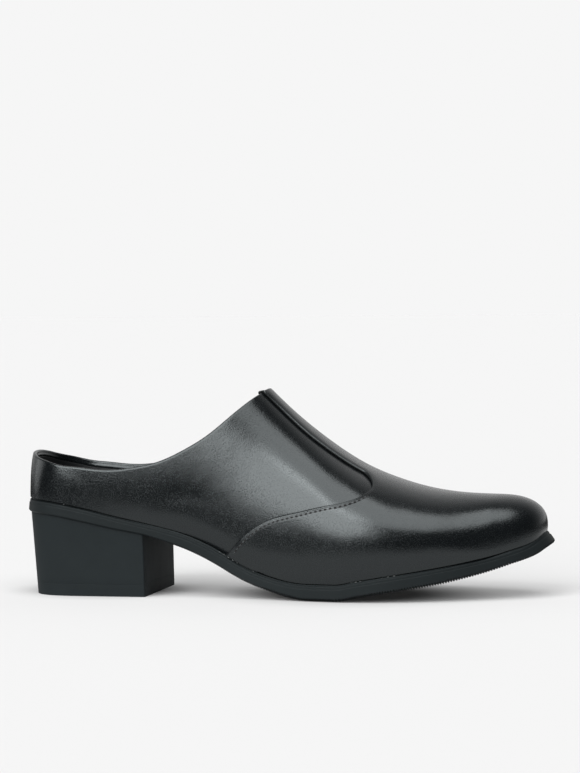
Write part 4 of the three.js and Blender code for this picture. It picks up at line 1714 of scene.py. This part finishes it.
    def places(self) -> np.ndarray:
        """Places once round the last, six to a rib where the edge is ribbed.

        Returns:
            The places, rising from 0 to 4.
        """
        last = self.last
        first = (self.ribs_from - last.heel_pole) / (last.toe_pole - last.heel_pole)
        step = self.rib_pitch / 6
        side = int((last.toe_pole - self.ribs_from) * last.sole_length / step)
        waist = np.linspace(0, first, self.coarse, endpoint=False)
        ribbed = np.linspace(first, 1, side, endpoint=False)
        toe = np.linspace(1, 2, int(85 / step), endpoint=False)
        inner = 3 - np.concatenate([waist, ribbed])[::-1]
        heel = np.linspace(3, 4, self.heel_stations, endpoint=False)
        return np.concatenate([waist, ribbed, toe, inner, heel[1:]])

    def build(self, rubber: bpy.types.Material) -> None:
        """Makes the outsole's body.

        Args:
            rubber: Its finish.
        """
        points, faces = skin_rings(self.profile(self.places()))
        make_piece(
            "outsole_body", points, faces, rubber, ("outsole",), sharp=45, welded=True
        )

    def build_flecks(self, paste: bpy.types.Material) -> None:
        """Makes the specks of paste left in the line between the upper and the outsole.

        Args:
            paste: Their finish.
        """
        last = self.last
        flecks = Beads()
        for start, end, count in self.fleck_runs:
            for at in np.linspace(start, end, count):
                size = 0.07 + 0.09 * (0.5 + 0.5 * math.sin(977 * at))
                place = last.place_at(np.array([at - 0.0015, at + 0.0015]), Side.OUTER)
                x, y, _, _ = last.plan(place, 0.75)
                a, b = np.stack([x, y, last.sole_top(x) - 0.12 * size], axis=-1)
                flecks.capsule(a, b, np.array([0.0, -0.7, 0.7]), size, size)
        flecks.build("joint_flecks", paste, "sole_rubber")

    def build_ribs(self, rubber: bpy.types.Material) -> None:
        """Makes the ribbed tread under the forepart, inside the rim, with a wave for each rib.

        Args:
            rubber: Its finish.
        """
        last = self.last
        side = np.linspace(0.3, 1, 900)
        place = np.concatenate([side, np.linspace(1, 2, 700)[1:], 3 - side[::-1][1:]])
        x, _, _, _ = last.plan(place, 0.0)
        run, _ = self.bevel(x)
        px, py, _, _ = last.plan(place, run + self.rim - 0.2)
        tip = int(px.argmax())
        start = self.ribs_from * last.sole_length
        xs = np.arange(start, float(px[tip]) - 0.25, self.rib_pitch / 6)
        outer = np.interp(xs, px[: tip + 1], py[: tip + 1])
        inner = np.interp(xs, px[tip:][::-1], py[tip:][::-1])
        across = np.linspace(0, 1, 17)
        wave = 0.5 + 0.5 * np.cos(2 * math.pi * (xs - start) / self.rib_pitch)
        valley = blend(self.rib_recess, self.rib_depth, 1 - wave**0.7)
        valley = valley * ramp(xs, start, start + self.rib_start)
        depth = last.sole_depth(xs)
        rings = [self.under(xs, blend(outer, inner, s), depth - valley) for s in across]
        lid = depth - self.rib_depth - 0.4
        rings += [self.under(xs, blend(outer, inner, s), lid) for s in across[::-1]]
        points, faces = skin_rings(list(np.stack(rings, axis=1)), closed=True)
        make_piece("outsole_ribs", points, faces, rubber, sharp=60)


@dataclass
class Heel:
    """The block heel and its top lift, lofted from the outsole's plan down to the floor."""

    last: Last
    breast: float = 64.5
    setback: float = 1.25
    breast_lean: float = 0.7
    back_lean: float = 2.7
    side_taper: float = 0.02
    lift: float = 6.0
    corner: float = 0.9
    joint: float = 0.03
    edge_round: float = 0.07

    def outline(self) -> np.ndarray:
        """The heel's plan at its top, once round, with both breast corners rounded.

        Returns:
            The plan's points.
        """
        last = self.last
        breast = self.breast / last.sole_length
        outer = last.place_at(np.linspace(last.heel_pole, breast, 40), Side.OUTER)
        inner = last.place_at(np.linspace(breast, last.heel_pole, 40), Side.INNER)
        place = np.concatenate([inner, np.linspace(3, 4, 90)[1:-1], outer])
        x, y, _, _ = last.plan(place, self.setback)
        ring = np.stack([x, y], axis=1)
        ring[0, 0] = ring[-1, 0] = self.breast
        points = []
        for end, step in ((len(ring) - 1, -1), (0, 1)):
            along = ring[end + 3 * step] - ring[end]
            along = along / np.linalg.norm(along)
            sideways = np.array([0.0, -1.0 if ring[end, 1] > 0 else 1.0])
            a = ring[end] + self.corner * along
            b = ring[end] + self.corner * sideways
            turn = np.linspace(0, 1, 6)[:, None]
            curve = (1 - turn) ** 2 * a + 2 * turn * (1 - turn) * ring[end] + turn**2 * b
            points.append(curve if end else curve[::-1])
        body = ring[1:-1]
        breast_line = [blend(points[0][-1], points[1][0], t) for t in np.linspace(0, 1, 14)[1:-1]]
        return np.concatenate([body, points[0], breast_line, points[1]])

    def loft(self, plan: np.ndarray, z: np.ndarray | None) -> np.ndarray:
        """Carries points of the top plan down to a height, or up to the outsole where it is None.

        Args:
            plan: Points of the top plan.
            z: Their heights in mm, or None.

        Returns:
            The points.
        """
        last = self.last
        x, y = plan[:, 0], plan[:, 1]
        top = last.under_sole(x, y, last.sole_depth(x) + self.joint)
        forward = x / self.breast
        shift = blend(self.back_lean, self.breast_lean, forward)
        floor_x = x + shift + (top[:, 0] - x) * forward
        floor = np.stack([floor_x, y * (1 - self.side_taper), 0 * x], axis=1)
        if z is None:
            return top
        return floor + (top - floor) * (z / top[:, 2])[:, None]

    def slab(self, low: float, high: float | None) -> tuple[np.ndarray, list[list[int]]]:
        """A slice of the heel between two heights, with eased edges.

        Args:
            low: Height of its underside.
            high: Height of its top, or None for the outsole's underside.

        Returns:
            Points and faces.
        """
        plan = self.outline()
        middle = plan.mean(axis=0)
        spans = np.linalg.norm(plan - middle, axis=1, keepdims=True)
        soft = self.edge_round

        def inset(by: float) -> np.ndarray:
            """The plan drawn in towards its middle by so many mm."""
            return middle + (plan - middle) * (1 - by / spans)

        def level(by: float, rise: float, upper: bool) -> np.ndarray:
            """One ring, drawn in, at a rise from the lower or the upper face.

            Args:
                by: How far it is drawn in, in mm.
                rise: How far from the face, in mm.
                upper: Whether it is measured from the upper face.

            Returns:
                The ring's points.
            """
            ring = inset(by)
            if not upper:
                return self.loft(ring, np.full(len(ring), low + rise))
            if high is not None:
                return self.loft(ring, np.full(len(ring), high - rise))
            top = self.loft(ring, None)
            return top - np.array([0.0, 0.0, rise])

        rings = []
        for share in (0.999, 0.6, 0.25):
            rings.append(self.loft(inset(0) * (1 - share) + middle * share, np.full(len(plan), low)))
        for k in range(5):
            angle = QUARTER_TURN * k / 4
            rings.append(level(soft * (1 - math.sin(angle)), soft * (1 - math.cos(angle)), False))
        under = self.loft(plan, np.full(len(plan), low + soft))
        over = level(0.0, soft, True)
        for share in np.linspace(0, 1, 10)[1:-1]:
            rings.append(blend(under, over, share))
        for k in range(5):
            angle = QUARTER_TURN * k / 4
            rings.append(level(soft * (1 - math.cos(angle)), soft * (1 - math.sin(angle)), True))
        for share in (0.25, 0.6, 0.999):
            ring = inset(0) * (1 - share) + middle * share
            top = self.loft(ring, None if high is None else np.full(len(ring), high))
            rings.append(top)
        return skin_rings(rings, closed=True)

    def build(self, block: bpy.types.Material, rubber: bpy.types.Material) -> None:
        """Makes the block and the lift.

        Args:
            block: The block's finish.
            rubber: The lift's finish.
        """
        points, faces = self.slab(self.lift + self.joint, None)
        make_piece("heel_cover", points, faces, block, ("heel_block",))
        points, faces = self.slab(0.0, self.lift)
        make_piece("lift_rubber", points, faces, rubber, ("top_lift",))


@dataclass
class Insole:
    """The insole with its sock, a soft board that lies on the outsole inside the wall."""

    last: Last
    thickness: float = 3.0
    wall: float = 1.8
    gap: float = 0.5
    crown: float = 0.5

    def build(self, sock: bpy.types.Material) -> None:
        """Makes the insole.

        Args:
            sock: Its finish.
        """
        last = self.last
        sides = np.arange(150) / 150
        ends = np.arange(50) / 50
        place = np.concatenate([sides, 1 + ends, 2 + sides, 3 + ends])
        at, _ = last.station(place)
        inset = last.curve["inset"](at) * last.ball_width + self.wall + self.gap
        x, y, spine_x, spine_y = last.plan(place, inset)
        high = last.seat_gap + self.thickness

        def ring(share: float, up: float) -> np.ndarray:
            """Points a share of the way out from the spine, so far above the outsole."""
            px, py = blend(spine_x, x, share), blend(spine_y, y, share)
            return last.under_sole(px, py, -up + 0 * px)

        rings = [ring(s, last.seat_gap) for s in (0.0, 0.35, 0.65, 0.9, 0.985)]
        rings += [ring(1.0, last.seat_gap + 0.35 + 0.5 * k) for k in range(4)]
        for share in (0.985, 0.955, 0.9, 0.8, 0.65, 0.5, 0.35, 0.2, 0.0):
            lift = high - self.crown * ramp(share, 0.6, 1.0)
            rings.append(ring(share, lift))
        points, faces = skin_rings(rings)
        make_piece("insole_sock", points, faces, sock, ("insole",), welded=True)


@dataclass(frozen=True)
class Softbox:
    """One round soft light, so far away that it lights the whole floor evenly."""

    name: str
    azimuth: float  # degrees round from the camera's side towards the toe
    height: float  # degrees over the floor
    width: float  # degrees across
    radiance: float  # brightness, where the white backdrop is about 0.9


@dataclass
class Studio:
    """The floor, the soft lights and the camera at the photo's angle."""

    azimuth: float = 11.8  # degrees towards the toe side
    elevation: float = 4.0
    pitch: float = 1.72
    roll: float = 0.4
    distance: float = 1.3
    target: tuple[float, float, float] = (131.0, 0.0, 50.0)  # mm, in the shoe's own frame
    focal_px: float = 2642.0
    picture: tuple[int, int] = (580, 773)
    floor_tone: float = 0.461
    # The floor glows evenly: this keeps it evenly bright and also lightens its cast shadows, as painted
    # fill light.
    floor_glow: float = 0.26
    floor_half: float = 40.0
    lit_patch: tuple[float, float] = (0.13, 0.44)  # metres from the shoe over which the patch fades
    lit_beyond: float = 0.06
    # Painted shadows under ball and heel, dimming the glow: middle along the shoe, half length, half width,
    # in metres.
    painted_contact_shadows: tuple[tuple[float, float, float], ...] = ((0.03, 0.056, 0.045), (-0.092, 0.038, 0.033))
    shadow_fade: tuple[float, float] = (0.55, 1.5)  # shares of their size over which they fade
    shadow_glow: float = 0.05
    backdrop: float = 0.921
    room: float = 0.045  # brightness of the surroundings on the camera's side
    sweep: float = 0.68  # and behind the shoe
    sweep_span: tuple[float, float] = (-0.1, 0.9)  # where the one turns into the other
    lights: tuple[Softbox, ...] = (
        Softbox("key_softbox", -22, 29, 46, 6.3),
        Softbox("top_softbox", 9, 65, 56, 3.7),
        Softbox("side_card", -98, 12, 30, 1.3),
    )

    def camera(self) -> None:
        """Makes the camera."""
        a, e, p, r = (math.radians(v) for v in (self.azimuth, self.elevation, self.pitch, self.roll))
        back = Vector((math.sin(a) * math.cos(p), -math.cos(a) * math.cos(p), math.sin(p)))
        level = Vector((math.cos(a), math.sin(a), 0.0))
        top = back.cross(level)
        right = level * math.cos(r) - top * math.sin(r)
        up = top * math.cos(r) + level * math.sin(r)
        sight = Vector((math.sin(a) * math.cos(e), -math.cos(a) * math.cos(e), math.sin(e)))
        place = Vector(PLACER.metres(np.array(self.target))) + self.distance * sight
        data = bpy.data.cameras.new("camera")
        data.sensor_width = 36.0
        data.lens = self.focal_px * data.sensor_width / max(self.picture)
        data.clip_end = 200.0
        camera = bpy.data.objects.new("camera", data)
        turn = Matrix((right, up, back)).transposed().to_4x4()
        camera.matrix_world = Matrix.Translation(place) @ turn
        bpy.context.scene.collection.objects.link(camera)
        bpy.context.scene.camera = camera

    def floor(self) -> None:
        """Makes the pale glowing floor with painted shadows; the leather sees it as a lit patch in a darker
        room.
        """
        w = Wiring.of("studio_floor")
        place = w.add("Mapping", Vector=w.add("NewGeometry").outputs["Position"])
        place.inputs["Scale"].default_value = (0.5, 1.0, 0.0)
        away = w.add("VectorMath", {"operation": "LENGTH"}, n0=place.outputs[0])
        lit = w.remap(away.outputs["Value"], *self.lit_patch, 1.0, self.lit_beyond)
        seen = w.math("MAXIMUM", lit, w.add("LightPath").outputs["Is Camera Ray"])
        tone = w.mix(seen, (0.0, 0.0, 0.0), (self.floor_tone,) * 3)
        # Painted contact shadows: the glow falls to a small share of itself in soft ovals under the ball
        # and the heel.
        open_share = 1.0
        for spot in self.painted_contact_shadows:
            spot_place = w.add("Mapping", Vector=w.add("NewGeometry").outputs["Position"])
            spot_place.inputs["Scale"].default_value = (1 / spot[1], 1 / spot[2], 0.0)
            spot_place.inputs["Location"].default_value = (-spot[0] / spot[1], 0.0, 0.0)
            from_spot = w.add("VectorMath", {"operation": "LENGTH"}, n0=spot_place.outputs[0])
            around = w.remap(from_spot.outputs["Value"], *self.shadow_fade, self.shadow_glow, 1.0)
            open_share = w.math("MULTIPLY", open_share, around)
        # The glow is painted fill light in the floor's shadows.
        glow = w.math("MULTIPLY", w.math("MULTIPLY", seen, self.floor_glow), open_share)
        shader = w.add("BsdfPrincipled", Base_Color=tone, Roughness=0.85, Emission_Strength=glow)
        shader.inputs["Emission Color"].default_value = WHITE
        shader.inputs["Specular IOR Level"].default_value = 0.0
        half = self.floor_half
        corners = [(-half, -half, 0), (half, -half, 0), (half, half, 0), (-half, half, 0)]
        mesh = bpy.data.meshes.new("floor")
        mesh.from_pydata(corners, [], [(0, 1, 2, 3)])
        mesh.materials.append(w.finish(shader))
        floor = bpy.data.objects.new("floor", mesh)
        bpy.context.scene.collection.objects.link(floor)

    def sky(self) -> None:
        """Makes the surroundings: a white sweep behind the shoe and a dark room on the camera's side."""
        w = Wiring(bpy.data.worlds.new("studio"), "OutputWorld")
        part = w.add("SeparateXYZ", n0=w.add("TexCoord").outputs["Generated"])
        fade = w.remap(part.outputs["Y"], *self.sweep_span, self.room, self.sweep)
        around = w.add("Background", Color=WHITE, Strength=fade)
        seen = w.add("Background", Color=(*(self.backdrop,) * 3, 1.0))
        by_camera = w.add("LightPath").outputs["Is Camera Ray"]
        both = w.add("MixShader", Fac=by_camera, n1=around.outputs[0], n2=seen.outputs[0])
        bpy.context.scene.world = w.finish(both)

    def light(self, box: Softbox) -> None:
        """Makes one broad soft light.

        Args:
            box: Where it stands and how bright it is.
        """
        half = math.radians(box.width) / 2
        data = bpy.data.lights.new(box.name, "SUN")
        data.angle = 2 * half
        data.energy = box.radiance * math.pi * math.sin(half) ** 2
        light = bpy.data.objects.new(box.name, data)
        a, h = math.radians(box.azimuth), math.radians(box.height)
        towards = Vector((math.sin(a) * math.cos(h), -math.cos(a) * math.cos(h), math.sin(h)))
        light.rotation_euler = towards.to_track_quat("Z", "Y").to_euler()
        bpy.context.scene.collection.objects.link(light)

    def build(self) -> None:
        """Sets the whole studio up."""
        self.camera()
        self.floor()
        self.sky()
        for box in self.lights:
            self.light(box)
        bpy.context.scene.view_settings.view_transform = "Standard"


def main() -> None:
    """Builds the shoe piece by piece, then the studio round it."""
    logging.basicConfig(level=logging.INFO, format="%(name)s: %(message)s")
    last = Last()
    leather = PolishedLeather().build()
    lining = MattLining("quarter_lining").build()
    sock = MattLining("insole_sock", (0.004, 0.0048, 0.0053), 0.55).build()
    rubber = SatinRubber("sole_rubber").build()
    cover = SatinRubber("heel_cover", (0.0118, 0.0147, 0.0158), 0.66, 0.02, 0.08).build()
    thread = PlainFinish("waxed_thread", (0.03, 0.034, 0.036), 0.5).build()
    paste = PlainFinish("dried_paste", (0.07, 0.076, 0.075), 0.6).build()
    # Near-black finish of the beads that paint the stitch holes' shade.
    hole_shade = PlainFinish("stitch_hole_shade", (0.002, 0.002, 0.002), 0.9).build()

    PLACER.fit(last, "outsole")
    outsole = Outsole(last)
    outsole.build(rubber)
    outsole.build_ribs(rubber)
    outsole.build_flecks(paste)
    Heel(last).build(cover, cover)
    Insole(last).build(sock)
    Upper(last).build(leather, lining)
    vamp = Vamp(last)
    vamp.build(leather)
    vamp.build_stitches(thread, hole_shade)
    Studio().build()


if __name__ == "__main__":
    main()
